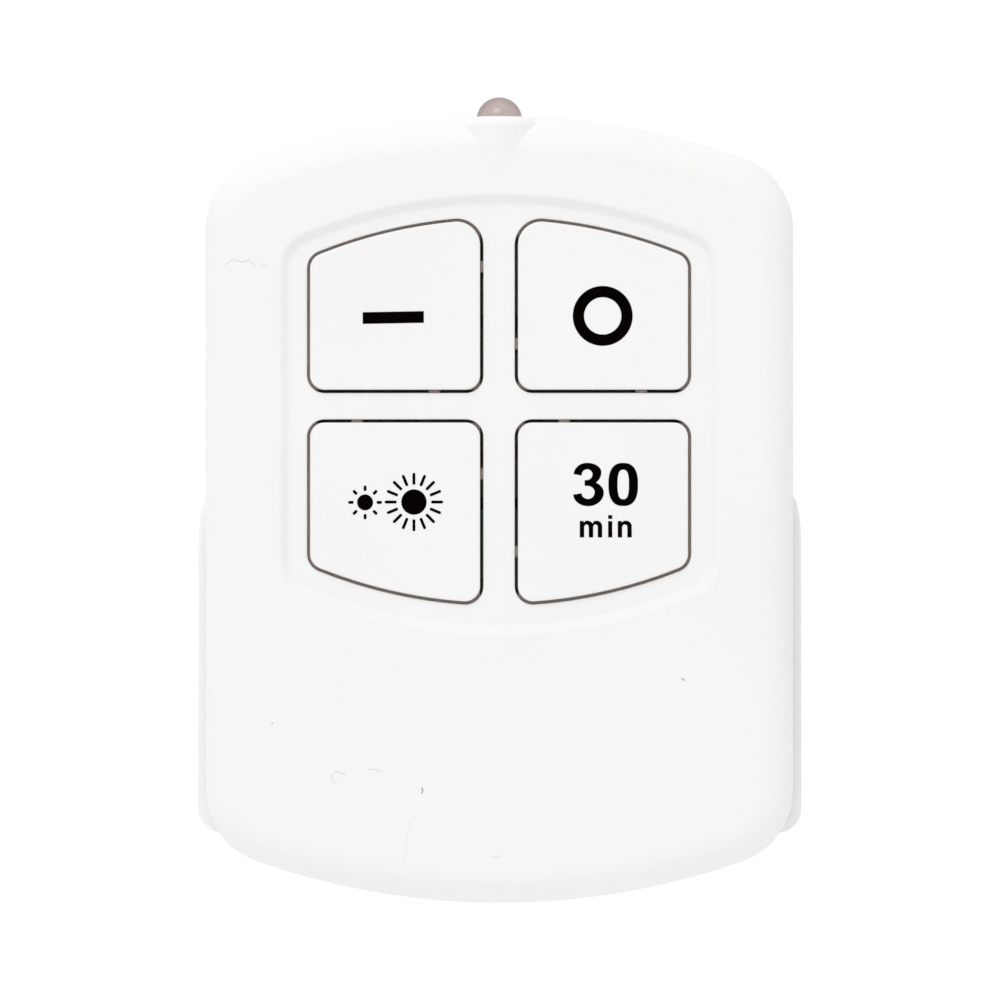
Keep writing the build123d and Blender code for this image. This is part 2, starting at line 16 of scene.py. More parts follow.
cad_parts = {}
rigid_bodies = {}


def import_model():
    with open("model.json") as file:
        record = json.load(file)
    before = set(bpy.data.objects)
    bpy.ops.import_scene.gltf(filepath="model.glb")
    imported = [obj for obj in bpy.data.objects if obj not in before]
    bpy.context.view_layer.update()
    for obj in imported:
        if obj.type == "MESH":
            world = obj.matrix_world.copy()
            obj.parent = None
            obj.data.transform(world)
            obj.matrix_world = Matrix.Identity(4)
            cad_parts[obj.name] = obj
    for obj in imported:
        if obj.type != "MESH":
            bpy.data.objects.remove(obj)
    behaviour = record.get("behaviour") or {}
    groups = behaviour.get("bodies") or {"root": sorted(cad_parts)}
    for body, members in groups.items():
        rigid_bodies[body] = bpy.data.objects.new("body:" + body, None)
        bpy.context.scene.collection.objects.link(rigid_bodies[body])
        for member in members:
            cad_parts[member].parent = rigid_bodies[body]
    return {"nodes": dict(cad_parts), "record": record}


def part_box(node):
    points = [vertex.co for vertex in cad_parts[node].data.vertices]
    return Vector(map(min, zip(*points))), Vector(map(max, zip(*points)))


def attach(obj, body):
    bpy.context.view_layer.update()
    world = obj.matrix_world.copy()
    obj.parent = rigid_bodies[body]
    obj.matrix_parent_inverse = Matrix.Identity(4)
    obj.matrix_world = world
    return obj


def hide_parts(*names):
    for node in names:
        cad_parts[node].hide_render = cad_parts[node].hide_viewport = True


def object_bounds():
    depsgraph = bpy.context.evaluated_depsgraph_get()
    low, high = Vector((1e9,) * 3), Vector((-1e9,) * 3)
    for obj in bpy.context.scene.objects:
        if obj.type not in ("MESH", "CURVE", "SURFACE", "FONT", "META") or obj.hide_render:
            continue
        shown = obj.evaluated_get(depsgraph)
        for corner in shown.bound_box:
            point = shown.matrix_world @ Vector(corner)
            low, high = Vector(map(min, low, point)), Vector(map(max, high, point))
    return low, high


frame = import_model()
cad_box = [list(corner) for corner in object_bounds()]
scene = bpy.context.scene
mm = 0.001

# %% [markdown]
# Everything below is placed from a few planes of the real object. The keys stand a little behind
# the front face of the case, so the face is found from a key's front and that small step. Signs
# are measured from the middle of the case, because that is how a printer would set them.

# %% Find the front face and the middle of the case
key_sink = 0.2 * mm
case_low, case_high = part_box("front_shell")
key_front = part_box("on_key")[0].y
case_front = key_front - key_sink
case_middle = (case_low.z + case_high.z) / 2
print("front face y", round(case_front / mm, 2), "middle z", round(case_middle / mm, 2))

# %% [markdown]
# ## Finishes
#
# Every finish is a small node tree. A few helpers keep the trees short: they fill the inputs of a
# node by label, add a node, calculate, mix two colours, and start a material or a node group.

# %% Helpers for node trees
# The Mix node has sockets for every kind of value: these are its factor, two colours and result.
mix_inputs, mix_output = (0, 6, 7), 2


def set_socket(tree, socket, value):
    """Fills one input of a node: another node's socket is linked, anything else is its value."""
    if isinstance(value, bpy.types.NodeSocket):
        tree.links.new(value, socket)
    else:
        socket.default_value = value


def set_inputs(tree, node, **inputs):
    """Fills the inputs of a node, each named by its label, and returns the node."""
    for label, value in inputs.items():
        set_socket(tree, node.inputs[label.replace("_", " ")], value)
    return node


def add(tree, kind, **inputs):
    """Adds a node and fills its inputs."""
    return set_inputs(tree, tree.nodes.new(kind), **inputs)


def own_place(tree):
    """Coordinates on the piece itself, so that a pattern moves along with the piece."""
    return tree.nodes.new("ShaderNodeTexCoord").outputs["Object"]


def calculate(tree, operation, first, second, kind="ShaderNodeMath"):
    """Adds a math node, for numbers unless its kind says otherwise, and returns its result."""
    node = tree.nodes.new(kind)
    node.operation = operation
    for socket, value in zip(node.inputs, (first, second)):
        set_socket(tree, socket, value)
    return node.outputs[0]


def mix_colours(tree, factor, first, second):
    """Mixes two colours by a factor and returns the result."""
    node = tree.nodes.new("ShaderNodeMix")
    node.data_type = "RGBA"
    for number, value in zip(mix_inputs, (factor, first, second)):
        set_socket(tree, node.inputs[number], value)
    return node.outputs[mix_output]


def spread(tree, value, low, high, to_low, to_high):
    """Maps one range of a value onto another and returns the result."""
    node = add(tree, "ShaderNodeMapRange", Value=value, From_Min=low, From_Max=high,
               To_Min=to_low, To_Max=to_high)
    return node.outputs["Result"]


def start_group(name, inputs, outputs):
    """Starts a shader node group with named sockets and returns it with its two end nodes."""
    group = bpy.data.node_groups.new(name, "ShaderNodeTree")
    for label, value in inputs.items():
        socket = group.interface.new_socket(label, in_out="INPUT", socket_type="NodeSocketFloat")
        socket.default_value = value
    for label in outputs:
        group.interface.new_socket(label, in_out="OUTPUT", socket_type="NodeSocketFloat")
    return group, group.nodes.new("NodeGroupInput"), group.nodes.new("NodeGroupOutput")


def use_group(tree, group, **inputs):
    """Places a node group in a tree with its own values."""
    node = tree.nodes.new("ShaderNodeGroup")
    node.node_tree = group
    return set_inputs(tree, node, **inputs)


def start_finish(name, **values):
    """Starts a material, sets constant values on its shader and returns it with its tree and shader."""
    material = bpy.data.materials.new(name)
    material.use_nodes = True
    tree = material.node_tree
    return material, tree, set_inputs(tree, tree.nodes["Principled BSDF"], **values)


def add_relief(tree, shader, height, distance, strength):
    """Lets a height pattern tilt the surface a little."""
    bump = add(tree, "ShaderNodeBump", Height=height, Strength=strength, Distance=distance)
    set_inputs(tree, shader, Normal=bump.outputs["Normal"])


print("helpers ready")

# %% [markdown]
# Moulded plastic is never quite even: the mould leaves a very fine grain, the melt leaves broad
# clouds of tone, and handling polishes some patches. Case, keys, holder and chips all share this,
# so it is one node group that each finish uses with its own sizes.

# %% Group: moulded grain
moulded_grain, start, end = start_group(
    "moulded grain", {"Grain": 2600.0, "Clouds": 45.0}, ("Height", "Tone", "Gloss"))
where = own_place(moulded_grain)
fine = add(moulded_grain, "ShaderNodeTexNoise", Vector=where, Scale=start.outputs["Grain"], Detail=3.0)
broad = add(moulded_grain, "ShaderNodeTexNoise", Vector=where, Scale=start.outputs["Clouds"], Detail=2.0)
polish = calculate(moulded_grain, "MULTIPLY", broad.outputs["Fac"], fine.outputs["Fac"])
set_inputs(moulded_grain, end, Height=fine.outputs["Fac"],
           Tone=spread(moulded_grain, broad.outputs["Fac"], 0.35, 0.65, 0.0, 1.0),
           Gloss=spread(moulded_grain, polish, 0.1, 0.4, 0.0, 1.0))
print("group:", moulded_grain.name, len(moulded_grain.nodes), "nodes")

# %% [markdown]
# Small dark specks of dust lie here and there on the white parts. A cell pattern gives one point
# to each cell; a point becomes a speck only where its own random value is high, so few remain.

# %% Group: dust specks
dust_specks, start, end = start_group(
    "dust specks", {"Spacing": 160.0, "Size": 0.03, "Rarity": 0.9}, ("Specks",))
where = own_place(dust_specks)
cells = add(dust_specks, "ShaderNodeTexVoronoi", Vector=where, Scale=start.outputs["Spacing"])
near = calculate(dust_specks, "LESS_THAN", cells.outputs["Distance"], start.outputs["Size"])
chance = add(dust_specks, "ShaderNodeSeparateColor", Color=cells.outputs["Color"])
rare = calculate(dust_specks, "GREATER_THAN", chance.outputs[0], start.outputs["Rarity"])
set_inputs(dust_specks, end, Specks=calculate(dust_specks, "MULTIPLY", near, rare))
print("group:", dust_specks.name, len(dust_specks.nodes), "nodes")

# %% [markdown]
# The case, the keys and the holder are the same satin white plastic from three moulds. Their tone,
# gloss and grain differ a little, so one function makes all three. Their reflections are kept weak,
# because strong ones at grazing angles would melt the outline into the white ground. The keys are
# painted browner behind a given depth: painted shade in the gaps, with a little settled dust.

# %% Finish: white moulded plastic
dust_grey = (0.42, 0.39, 0.36, 1.0)
dust_cover = 0.6
# Painted shade in the gaps, with a little dust: the keys turn this brown behind a given depth.
gap_shade_brown = (0.86, 0.74, 0.66, 1.0)
gap_shade_start, gap_shade_reach = key_front + 0.75 * mm, 0.8 * mm


def white_plastic(name, pale, cloud, roughness, grain, gap_shade_from=None):
    """Satin white plastic: two close tones in clouds, fine grain, a few specks and, if asked, painted shade
    in the gaps.
    """
    material, tree, shader = start_finish(name, IOR=1.5, Specular_IOR_Level=0.06)
    surface = use_group(tree, moulded_grain, Grain=grain)
    dust = use_group(tree, dust_specks)
    colour = mix_colours(tree, surface.outputs["Tone"], pale, cloud)
    # Painted shade: behind the given depth the colour turns brown, as the gaps look in shade, with a little
    # dust.
    if gap_shade_from is not None:
        place = add(tree, "ShaderNodeSeparateXYZ", Vector=own_place(tree))
        depth = spread(tree, place.outputs["Y"], gap_shade_from, gap_shade_from + gap_shade_reach, 0.0, 1.0)
        colour = mix_colours(tree, depth, colour, gap_shade_brown)
    faint = calculate(tree, "MULTIPLY", dust.outputs["Specks"], dust_cover)
    gloss = spread(tree, surface.outputs["Gloss"], 0.0, 1.0, roughness - 0.05, roughness + 0.07)
    set_inputs(tree, shader, Base_Color=mix_colours(tree, faint, colour, dust_grey), Roughness=gloss)
    add_relief(tree, shader, surface.outputs["Height"], 0.01 * mm, 0.25)
    return material


case_white = white_plastic(
    "case white", (0.916, 0.914, 0.914, 1), (0.904, 0.902, 0.901, 1), 0.36, 2600.0)
key_white = white_plastic(
    "key white", (0.912, 0.911, 0.911, 1), (0.9, 0.898, 0.898, 1), 0.4, 3000.0, gap_shade_start)
holder_white = white_plastic(
    "holder white", (0.91, 0.905, 0.904, 1), (0.897, 0.892, 0.891, 1), 0.42, 2200.0)
print("white finishes:", case_white.name, key_white.name, holder_white.name)

# %% [markdown]
# The signs are pad-printed in a black that is faintly brown where the ink is thin. Noise at the
# size of the print's speckle thins it in tiny spots.

# %% Finish: sign ink
full_ink, thin_ink = (0.0009, 0.0005, 0.0004, 1), (0.014, 0.004, 0.002, 1)


def printed_ink():
    """Near-black ink with thin brownish spots."""
    material, tree, shader = start_finish("sign ink", IOR=1.45, Specular_IOR_Level=0.01)
    surface = use_group(tree, moulded_grain, Grain=5200.0, Clouds=900.0)
    thin = spread(tree, surface.outputs["Height"], 0.55, 0.75, 0.0, 0.6)
    gloss = spread(tree, surface.outputs["Gloss"], 0.0, 1.0, 0.5, 0.68)
    set_inputs(tree, shader, Base_Color=mix_colours(tree, thin, full_ink, thin_ink), Roughness=gloss)
    add_relief(tree, shader, surface.outputs["Height"], 0.008 * mm, 0.3)
    return material


sign_ink = printed_ink()
print("ink:", sign_ink.name)

# %% [markdown]
# The emitter is cast from tinted clear resin. Real transmission lets the pale surroundings shine
# through it; its dark rim is partly that and partly painted shade, a browner colour that follows the angle
# of view.

# %% Finish: emitter resin
clear_tint, cloudy_tint = (0.865, 0.74, 0.72, 1), (0.785, 0.655, 0.635, 1)
# Painted shade along the rim of the dome.
rim_shade_tint = (0.42, 0.28, 0.23, 1)


def tinted_resin():
    """Clear casting resin with a pinkish tint, painted shade that browns its rim where one looks along it,
    and faint flow marks.
    """
    material, tree, shader = start_finish("emitter resin", IOR=1.53, Transmission_Weight=1.0)
    surface = use_group(tree, moulded_grain, Grain=320.0, Clouds=260.0)
    tint = mix_colours(tree, surface.outputs["Tone"], clear_tint, cloudy_tint)
    # Painted shade: the rim turns browner by the angle of view.
    facing = add(tree, "ShaderNodeLayerWeight", Blend=0.5).outputs["Facing"]
    rim = spread(tree, facing, 0.3, 0.9, 0.0, 1.0)
    gloss = spread(tree, surface.outputs["Gloss"], 0.0, 1.0, 0.05, 0.14)
    set_inputs(tree, shader, Base_Color=mix_colours(tree, rim, tint, rim_shade_tint), Roughness=gloss)
    add_relief(tree, shader, surface.outputs["Height"], 0.004 * mm, 0.08)
    return material


emitter_resin = tinted_resin()
print("resin:", emitter_resin.name)

# %% [markdown]
# Drawn, rolled and plated metal shows fine streaks along one direction. Stretching the coordinates
# before a noise draws such streaks, and one group serves contacts, leads, screws and cell jackets.

# %% Group: drawn streaks, and the metal finishes
drawn_streaks, start, end = start_group(
    "drawn streaks", {"Along": 120.0, "Across": 3600.0}, ("Streaks", "Patina"))
where = own_place(drawn_streaks)
stretch = add(drawn_streaks, "ShaderNodeCombineXYZ", X=start.outputs["Along"],
              Y=start.outputs["Across"], Z=start.outputs["Across"])
pulled = calculate(drawn_streaks, "MULTIPLY", where, stretch.outputs["Vector"], "ShaderNodeVectorMath")
streaks = add(drawn_streaks, "ShaderNodeTexNoise", Vector=pulled, Scale=1.0, Detail=2.0)
patina = add(drawn_streaks, "ShaderNodeTexNoise", Vector=where, Scale=420.0, Detail=4.0)
set_inputs(drawn_streaks, end, Streaks=streaks.outputs["Fac"], Patina=patina.outputs["Fac"])


def drawn_metal(name, bright, dull, roughness):
    """Metal with fine streaks and a cloudy tarnish."""
    material, tree, shader = start_finish(name, Metallic=1.0)
    surface = use_group(tree, drawn_streaks)
    tarnish = spread(tree, surface.outputs["Patina"], 0.4, 0.7, 0.0, 1.0)
    gloss = spread(tree, surface.outputs["Streaks"], 0.3, 0.7, roughness - 0.06, roughness + 0.1)
    set_inputs(tree, shader, Base_Color=mix_colours(tree, tarnish, bright, dull), Roughness=gloss)
    add_relief(tree, shader, surface.outputs["Streaks"], 0.006 * mm, 0.2)
    return material


tinned = drawn_metal("tinned metal", (0.78, 0.78, 0.77, 1), (0.62, 0.61, 0.59, 1), 0.32)
nickel_strip = drawn_metal("nickel strip", (0.8, 0.78, 0.74, 1), (0.66, 0.63, 0.58, 1), 0.24)
zinc_screw = drawn_metal("zinc screw", (0.7, 0.71, 0.72, 1), (0.5, 0.51, 0.53, 1), 0.3)
print("metals:", tinned.name, nickel_strip.name, zinc_screw.name)

# %% [markdown]
# The circuit board is laminate under green lacquer. Copper tracks under the lacquer show as paler
# straight lines, which the edges of a blocky cell pattern imitate well.

# %% Finish: board lacquer
dark_lacquer, light_lacquer = (0.022, 0.13, 0.05, 1), (0.03, 0.16, 0.065, 1)
track_green = (0.06, 0.27, 0.11, 1)


def lacquered_board():
    """Green lacquer with paler tracks under it."""
    material, tree, shader = start_finish("board lacquer", IOR=1.5, Coat_Weight=0.4)
    surface = use_group(tree, moulded_grain, Grain=1500.0, Clouds=120.0)
    blocks = add(tree, "ShaderNodeTexVoronoi", Vector=own_place(tree), Scale=260.0, Randomness=0.6)
    blocks.distance = "MANHATTAN"
    track = spread(tree, blocks.outputs["Distance"], 0.42, 0.5, 0.0, 1.0)
    lacquer = mix_colours(tree, surface.outputs["Tone"], dark_lacquer, light_lacquer)
    gloss = spread(tree, surface.outputs["Gloss"], 0.0, 1.0, 0.22, 0.36)
    set_inputs(tree, shader, Base_Color=mix_colours(tree, track, lacquer, track_green), Roughness=gloss)
    add_relief(tree, shader, track, 0.02 * mm, 0.4)
    return material


board_green = lacquered_board()
print("board:", board_green.name)

# %% [markdown]
# Chips and switch housings are black moulded resin with a dull, dusty grain, and the capacitor wears
# a black sleeve. The resonator is dipped in an amber coating that is thicker in some places.

# %% Finishes: black resin, black sleeve and amber dip
def mottled(name, first, second, roughness, grain, relief):
    """Two tones in clouds with a fine grain, for small parts and lint."""
    material, tree, shader = start_finish(name, IOR=1.5)
    surface = use_group(tree, moulded_grain, Grain=grain, Clouds=700.0)
    colour = mix_colours(tree, surface.outputs["Tone"], first, second)
    gloss = spread(tree, surface.outputs["Gloss"], 0.0, 1.0, roughness - 0.08, roughness + 0.1)
    set_inputs(tree, shader, Base_Color=colour, Roughness=gloss)
    add_relief(tree, shader, surface.outputs["Height"], relief, 0.35)
    return material


black_resin = mottled(
    "black resin", (0.016, 0.016, 0.017, 1), (0.03, 0.029, 0.028, 1), 0.55, 4200.0, 0.015 * mm)
black_sleeve = mottled(
    "black sleeve", (0.012, 0.012, 0.014, 1), (0.02, 0.02, 0.022, 1), 0.4, 900.0, 0.01 * mm)
amber_dip = mottled(
    "amber dip", (0.55, 0.27, 0.06, 1), (0.42, 0.18, 0.035, 1), 0.26, 800.0, 0.02 * mm)
print("small parts:", black_resin.name, black_sleeve.name, amber_dip.name)

# %% [markdown]
# Each cell wears a plain printed jacket: a dark field, a pale field at its plus end and bare steel
# at both ends. The fields are stops of a colour ramp along the cell, and the ramp runs
# from the flat end to the nub, so the two cells that lie head to tail need one ramp each way.

# %% Finish: cell jackets
jacket_fields = [
    (0.0, (0.62, 0.61, 0.6, 1)),
    (0.012, (0.035, 0.038, 0.045, 1)),
    (0.62, (0.5, 0.51, 0.5, 1)),
    (0.965, (0.66, 0.65, 0.63, 1)),
]
worn_grey = (0.3, 0.29, 0.28, 1)


def cell_jacket(name, node, plus_side):
    """Plain jacket with colour fields along X; plus_side is 1 where the nub points to +X."""
    material, tree, shader = start_finish(name, Coat_Weight=0.25)
    low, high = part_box(node)
    flat_end, nub_end = (low.x, high.x) if plus_side > 0 else (high.x, low.x)
    surface = use_group(tree, drawn_streaks, Along=200.0, Across=1800.0)
    place = add(tree, "ShaderNodeSeparateXYZ", Vector=own_place(tree))
    along = spread(tree, place.outputs["X"], flat_end, nub_end, 0.0, 1.0)
    ramp = add(tree, "ShaderNodeValToRGB", Fac=along)
    ramp.color_ramp.interpolation = "CONSTANT"
    stops = ramp.color_ramp.elements
    ready_stops = len(stops)
    for number, (position, colour) in enumerate(jacket_fields):
        stop = stops[number] if number < ready_stops else stops.new(position)
        stop.position = position
        stop.color = colour
    worn = spread(tree, surface.outputs["Patina"], 0.5, 0.8, 0.0, 0.25)
    set_inputs(tree, shader, Base_Color=mix_colours(tree, worn, ramp.outputs["Color"], worn_grey),
               Roughness=spread(tree, surface.outputs["Streaks"], 0.3, 0.7, 0.28, 0.42),
               Metallic=spread(tree, along, 0.0, 1.0, 0.55, 0.75))
    return material


jackets = {
    "upper_cell": cell_jacket("jacket plus right", "upper_cell", 1),
    "lower_cell": cell_jacket("jacket plus left", "lower_cell", -1),
}
print("jackets:", [jacket.name for jacket in jackets.values()])

# %% [markdown]
# Pieces whose solids already look right only need their finish. They sit inside the case, so they
# show when it is opened: board, switches, chips, leads, terminals and contacts.

# %% Give the inner solids their finishes
inner_finishes = {
    "circuit_board": board_green,
    "switch_terminals": tinned,
    "led_leads": tinned,
    "chip_pins": tinned,
    "positive_contact": nickel_strip,
    "negative_contact": nickel_strip,
    "bridge_contact": nickel_strip,
    "encoder_chip": black_resin,
    "driver_transistor": black_resin,
    "resistors": black_resin,
    "resonator": amber_dip,
    "reservoir_capacitor": black_sleeve,
}
key_names = ("on", "off", "dimmer", "timer")
for key in key_names:
    inner_finishes[key + "_switch"] = black_resin
    inner_finishes[key + "_plunger"] = black_resin
for node, material in inner_finishes.items():
    frame["nodes"][node].data.materials[0] = material
print("finished solids:", len(inner_finishes))

# %% [markdown]
# ## Rounded mouldings
#
# No moulded edge is perfectly sharp, and it is the thin light along an edge that makes plastic look
# real. The edges could be rounded one by one, but a copy of each solid can do it by rule: merge its
# loose triangles, join those that lie in one plane, then let a Bevel modifier round every edge that
# is bent. How wide an edge is rounded depends on where it lies and how far it is bent, so each piece
# brings a small rule for that, and the widths are written on the edges as bevel weights. Creases that
# stay unrounded are marked sharp: they lie where two surfaces of the solid meet at an angle, and the
# loose patches still have an open border there before they are merged. Corners that coincide after
# the rounding are joined, and weighted normals then keep the flat faces flat in the light.

# %% Helpers: a copy of a solid with rounded edges
body_of_node = {}
for body, nodes in frame["record"]["behaviour"]["bodies"].items():
    body_of_node.update(dict.fromkeys(nodes, body))
merge_distance, same_corner = 0.03 * mm, 0.0005 * mm
flat_angle, crease_angle = math.radians(0.5), math.radians(12)
least_bend = 24
large_face_weight = 100


def open_mesh(mesh):
    """Opens a mesh for work on its corners, edges and faces."""
    work = bmesh.new()
    work.from_mesh(mesh)
    return work


def close_mesh(work, mesh):
    """Writes the work into a mesh, ends the work and returns the mesh."""
    work.to_mesh(mesh)
    work.free()
    return mesh


def put_in_scene(name, content):
    """New object in the scene with a mesh, curve, camera or lamp as its content."""
    piece = bpy.data.objects.new(name, content)
    scene.collection.objects.link(piece)
    return piece


def join_flat(work):
    """Joins faces that lie in one plane."""
    bmesh.ops.dissolve_limit(work, angle_limit=flat_angle, verts=work.verts, edges=work.edges)


def merged_copy(node):
    """Mesh copy of a solid with its triangles joined where they lie in one plane."""
    mesh = frame["nodes"][node].data.copy()
    if "custom_normal" in mesh.attributes:
        mesh.attributes.remove(mesh.attributes["custom_normal"])
    work = open_mesh(mesh)
    for edge in work.edges:
        edge.smooth = not edge.is_boundary
    bmesh.ops.remove_doubles(work, verts=work.verts, dist=merge_distance)
    join_flat(work)
    for edge in work.edges:
        edge.smooth = edge.smooth or edge.calc_face_angle(0.0) < crease_angle
    return close_mesh(work, mesh)


def weigh_edges(mesh, rule):
    """Writes bevel weights from a rule that gives a width for an edge's middle and its bend in degrees."""
    work = open_mesh(mesh)
    widths = []
    for edge in work.edges:
        bend = math.degrees(edge.calc_face_angle(0.0))
        middle = (edge.verts[0].co + edge.verts[1].co) / 2
        widths.append(rule(middle, bend) if bend > least_bend else 0.0)
    widest = max(widths)
    weight = work.edges.layers.float.new("bevel_weight_edge")
    for edge, width in zip(work.edges, widths):
        edge[weight] = width / widest
    close_mesh(work, mesh)
    return widest


def baked_mesh(piece):
    """New mesh of a piece with its modifiers carried out, which are then taken off."""
    mesh = bpy.data.meshes.new_from_object(piece.evaluated_get(bpy.context.evaluated_depsgraph_get()))
    piece.modifiers.clear()
    return mesh


def hand_over(piece, node):
    """Lets a finished piece stand for a solid: same body, and the solid is hidden."""
    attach(piece, body_of_node[node])
    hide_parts(node)


def rounded_piece(node, name, material, rule, segments, mesh=None):
    """Rounds the copy of a solid, or a mesh made from it, and lets it stand for that solid."""
    mesh = mesh or merged_copy(node)
    piece = put_in_scene(name, mesh)
    bevel = piece.modifiers.new("rounded edges", "BEVEL")
    bevel.limit_method = "WEIGHT"
    bevel.width = weigh_edges(mesh, rule)
    bevel.use_clamp_overlap = False
    bevel.segments = segments
    bevel.miter_outer = "MITER_ARC"
    mesh.polygons.foreach_set("use_smooth", [True] * len(mesh.polygons))
    piece.data = baked_mesh(piece)
    work = open_mesh(piece.data)
    bmesh.ops.remove_doubles(work, verts=work.verts, dist=same_corner)
    close_mesh(work, piece.data)
    even = piece.modifiers.new("even shading", "WEIGHTED_NORMAL")
    even.weight = large_face_weight
    even.keep_sharp = True
    piece.data = baked_mesh(piece)
    piece.data.materials.clear()
    piece.data.materials.append(material)
    hand_over(piece, node)
    print(name, "faces", len(piece.data.polygons))


print("solids on a body:", len(body_of_node))

# %% [markdown]
# The key field is sunk, and a slope leads down to it. In its corners the slope is cut into many small
# triangles, which leave no room for a rounding. So the slope is taken out and closed again with
# plain strips: from the pair of points that lie closest, one rim or the other steps on, whichever
# makes the shorter strip.

# %% Close the slope of the key field with plain strips
slope_inset, slope_depth, slope_rise = 8.5 * mm, 0.4 * mm, 8 * mm
least_tilt, most_tilt = 0.5, 0.9
hardly_bent = math.radians(20)


def joined_faces(first):
    """Faces reached from a first one over edges that are hardly bent."""
    found, waiting = [first], [first]
    while waiting:
        for edge in waiting.pop().edges:
            for face in edge.link_faces:
                if edge.calc_face_angle(0.0) < hardly_bent and face not in found:
                    found.append(face)
                    waiting.append(face)
    return found


def rim_loop(edges):
    """Takes one closed rim out of a list of edges and returns its corners in order, turning left."""
    edge = edges.pop(0)
    loop, corner = [edge.verts[0]], edge.verts[1]
    while corner is not loop[0]:
        loop.append(corner)
        edge = next(edge for edge in corner.link_edges if edge in edges)
        edges.remove(edge)
        corner = edge.other_vert(corner)
    turn = sum(a.co.x * b.co.z - b.co.x * a.co.z for a, b in zip(loop, loop[1:] + loop[:1]))
    return loop if turn > 0 else loop[::-1]


def close_strip(work, outer, inner):
    """Closes the strip between two rims."""
    nearest = min(range(len(inner)), key=lambda number: (inner[number].co - outer[0].co).length)
    outer, inner = outer + outer[:1], inner[nearest:] + inner[:nearest + 1]
    while len(outer) > 1 or len(inner) > 1:
        a, b = outer[0], inner[0]
        outer_steps = len(inner) == 1 or (
            len(outer) > 1 and (outer[1].co - b.co).length < (inner[1].co - a.co).length)
        work.faces.new((a, b, outer[1]) if outer_steps else (a, b, inner[1]))
        (outer if outer_steps else inner).pop(0)


shell_mesh = merged_copy("front_shell")
shell_work = open_mesh(shell_mesh)
slope_spot = Vector((case_low.x + slope_inset, case_front + slope_depth, case_middle + slope_rise))
tilted = [face for face in shell_work.faces if least_tilt < -face.normal.y < most_tilt]
slope = joined_faces(min(tilted, key=lambda face: (face.calc_center_median() - slope_spot).length))
bmesh.ops.delete(shell_work, geom=slope, context="FACES")
rim_edges = [edge for edge in shell_work.edges if edge.is_boundary]
first_rim, second_rim = rim_loop(rim_edges), rim_loop(rim_edges)
close_strip(shell_work, first_rim, second_rim)
bmesh.ops.recalc_face_normals(shell_work, faces=shell_work.faces)
join_flat(shell_work)
close_mesh(shell_work, shell_mesh)
print("slope faces taken out:", len(slope))
print("corners of its rims:", len(first_rim), len(second_rim), "edges left over:", len(rim_edges))

# %% [markdown]
# The case front gets a soft rounding on both rims of that slope and on the slanted rim of the hood,
# a fine one round the key openings and along the split, and none in the emitter's hole and along the
# creases beside the hood.

# %% Round the case front
split_depth = case_high.y
emitter_low, emitter_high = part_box("infrared_led")
emitter_middle = (emitter_low + emitter_high) / 2
hood_round, slope_round, fine_round = 0.3 * mm, 0.22 * mm, 0.12 * mm
hood_reach, hood_height, hood_side = 6 * mm, 1.1 * mm, 3.6 * mm
hood_rim_inside, hood_rim_outside = 3.7 * mm, 5 * mm
hood_bend, steep_bend = 40, 62
field_depth, split_reach = 1.0 * mm, 0.1 * mm
front_steps = 4


def front_rule(middle, bend):
    """Rounding of the case front at one edge."""
    from_emitter = math.hypot(middle.x - emitter_middle.x, middle.y - emitter_middle.y)
    if middle.z > emitter_low.z and from_emitter < hood_reach:
        in_front = middle.z > case_high.z - hood_height and middle.y < emitter_middle.y
        on_rim = hood_rim_inside < from_emitter < hood_rim_outside and abs(middle.x) < hood_side
        return hood_round if in_front and on_rim and bend > hood_bend else 0.0
    if middle.y < case_front + field_depth:
        return slope_round if bend < steep_bend else fine_round
    return fine_round if middle.y > split_depth - split_reach and bend > steep_bend else 0.0


rounded_piece("front_shell", "case_front", case_white, front_rule, front_steps, shell_mesh)

# %% [markdown]
# The lower corners of the holder's flanks are full and round in the picture, where the solid has a
# slanted cut. Here the slanted faces are cut into narrow strips by upright planes, and each corner of
# a strip is moved up or down onto a quarter of an oval. The walls stay flat, because they are upright.

# %% Round the lower corners of the holder
holder_low, holder_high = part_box("wall_holder")
oval_width, oval_height = 2.55 * mm, 2.8 * mm
oval_start = holder_high.x - oval_width
strip_count = 12
least_slant = 0.05
on_plane = 0.001 * mm


def slanted_faces(work):
    """Faces of the two slanted lower corners."""
    found = []
    for face in work.faces:
        middle = face.calc_center_median()
        low = middle.z < holder_low.z + oval_height and abs(middle.x) > oval_start
        if low and face.normal.z < -least_slant and abs(face.normal.x) > least_slant:
            found.append(face)
    return found


holder_mesh = merged_copy("wall_holder")
holder_work = open_mesh(holder_mesh)
for step in range(1, strip_count):
    across = oval_start + oval_width * math.sin(math.radians(90) * step / strip_count)
    for side in (-1, 1):
        slanted = slanted_faces(holder_work)
        borders = dict.fromkeys(part for face in slanted for part in list(face.edges) + list(face.verts))
        bmesh.ops.bisect_plane(holder_work, geom=slanted + list(borders), dist=on_plane,
                               plane_co=(side * across, 0, 0), plane_no=(1, 0, 0))
oval_corners = {corner for face in slanted_faces(holder_work) for corner in face.verts}
for corner in oval_corners:
    past = min(1.0, max(0.0, (abs(corner.co.x) - oval_start) / oval_width))
    corner.co.z = holder_low.z + oval_height * (1 - math.sqrt(1 - past ** 2))
close_mesh(holder_work, holder_mesh)
print("corners moved onto the ovals:", len(oval_corners))

# %% [markdown]
# The keys are rounded round their fronts only, because the rest of them is out of sight, and the
# holder everywhere but at its narrow foot and its screw holes. The back and the cover are rounded
# on the outside, where a hand meets them, and the cells all over.

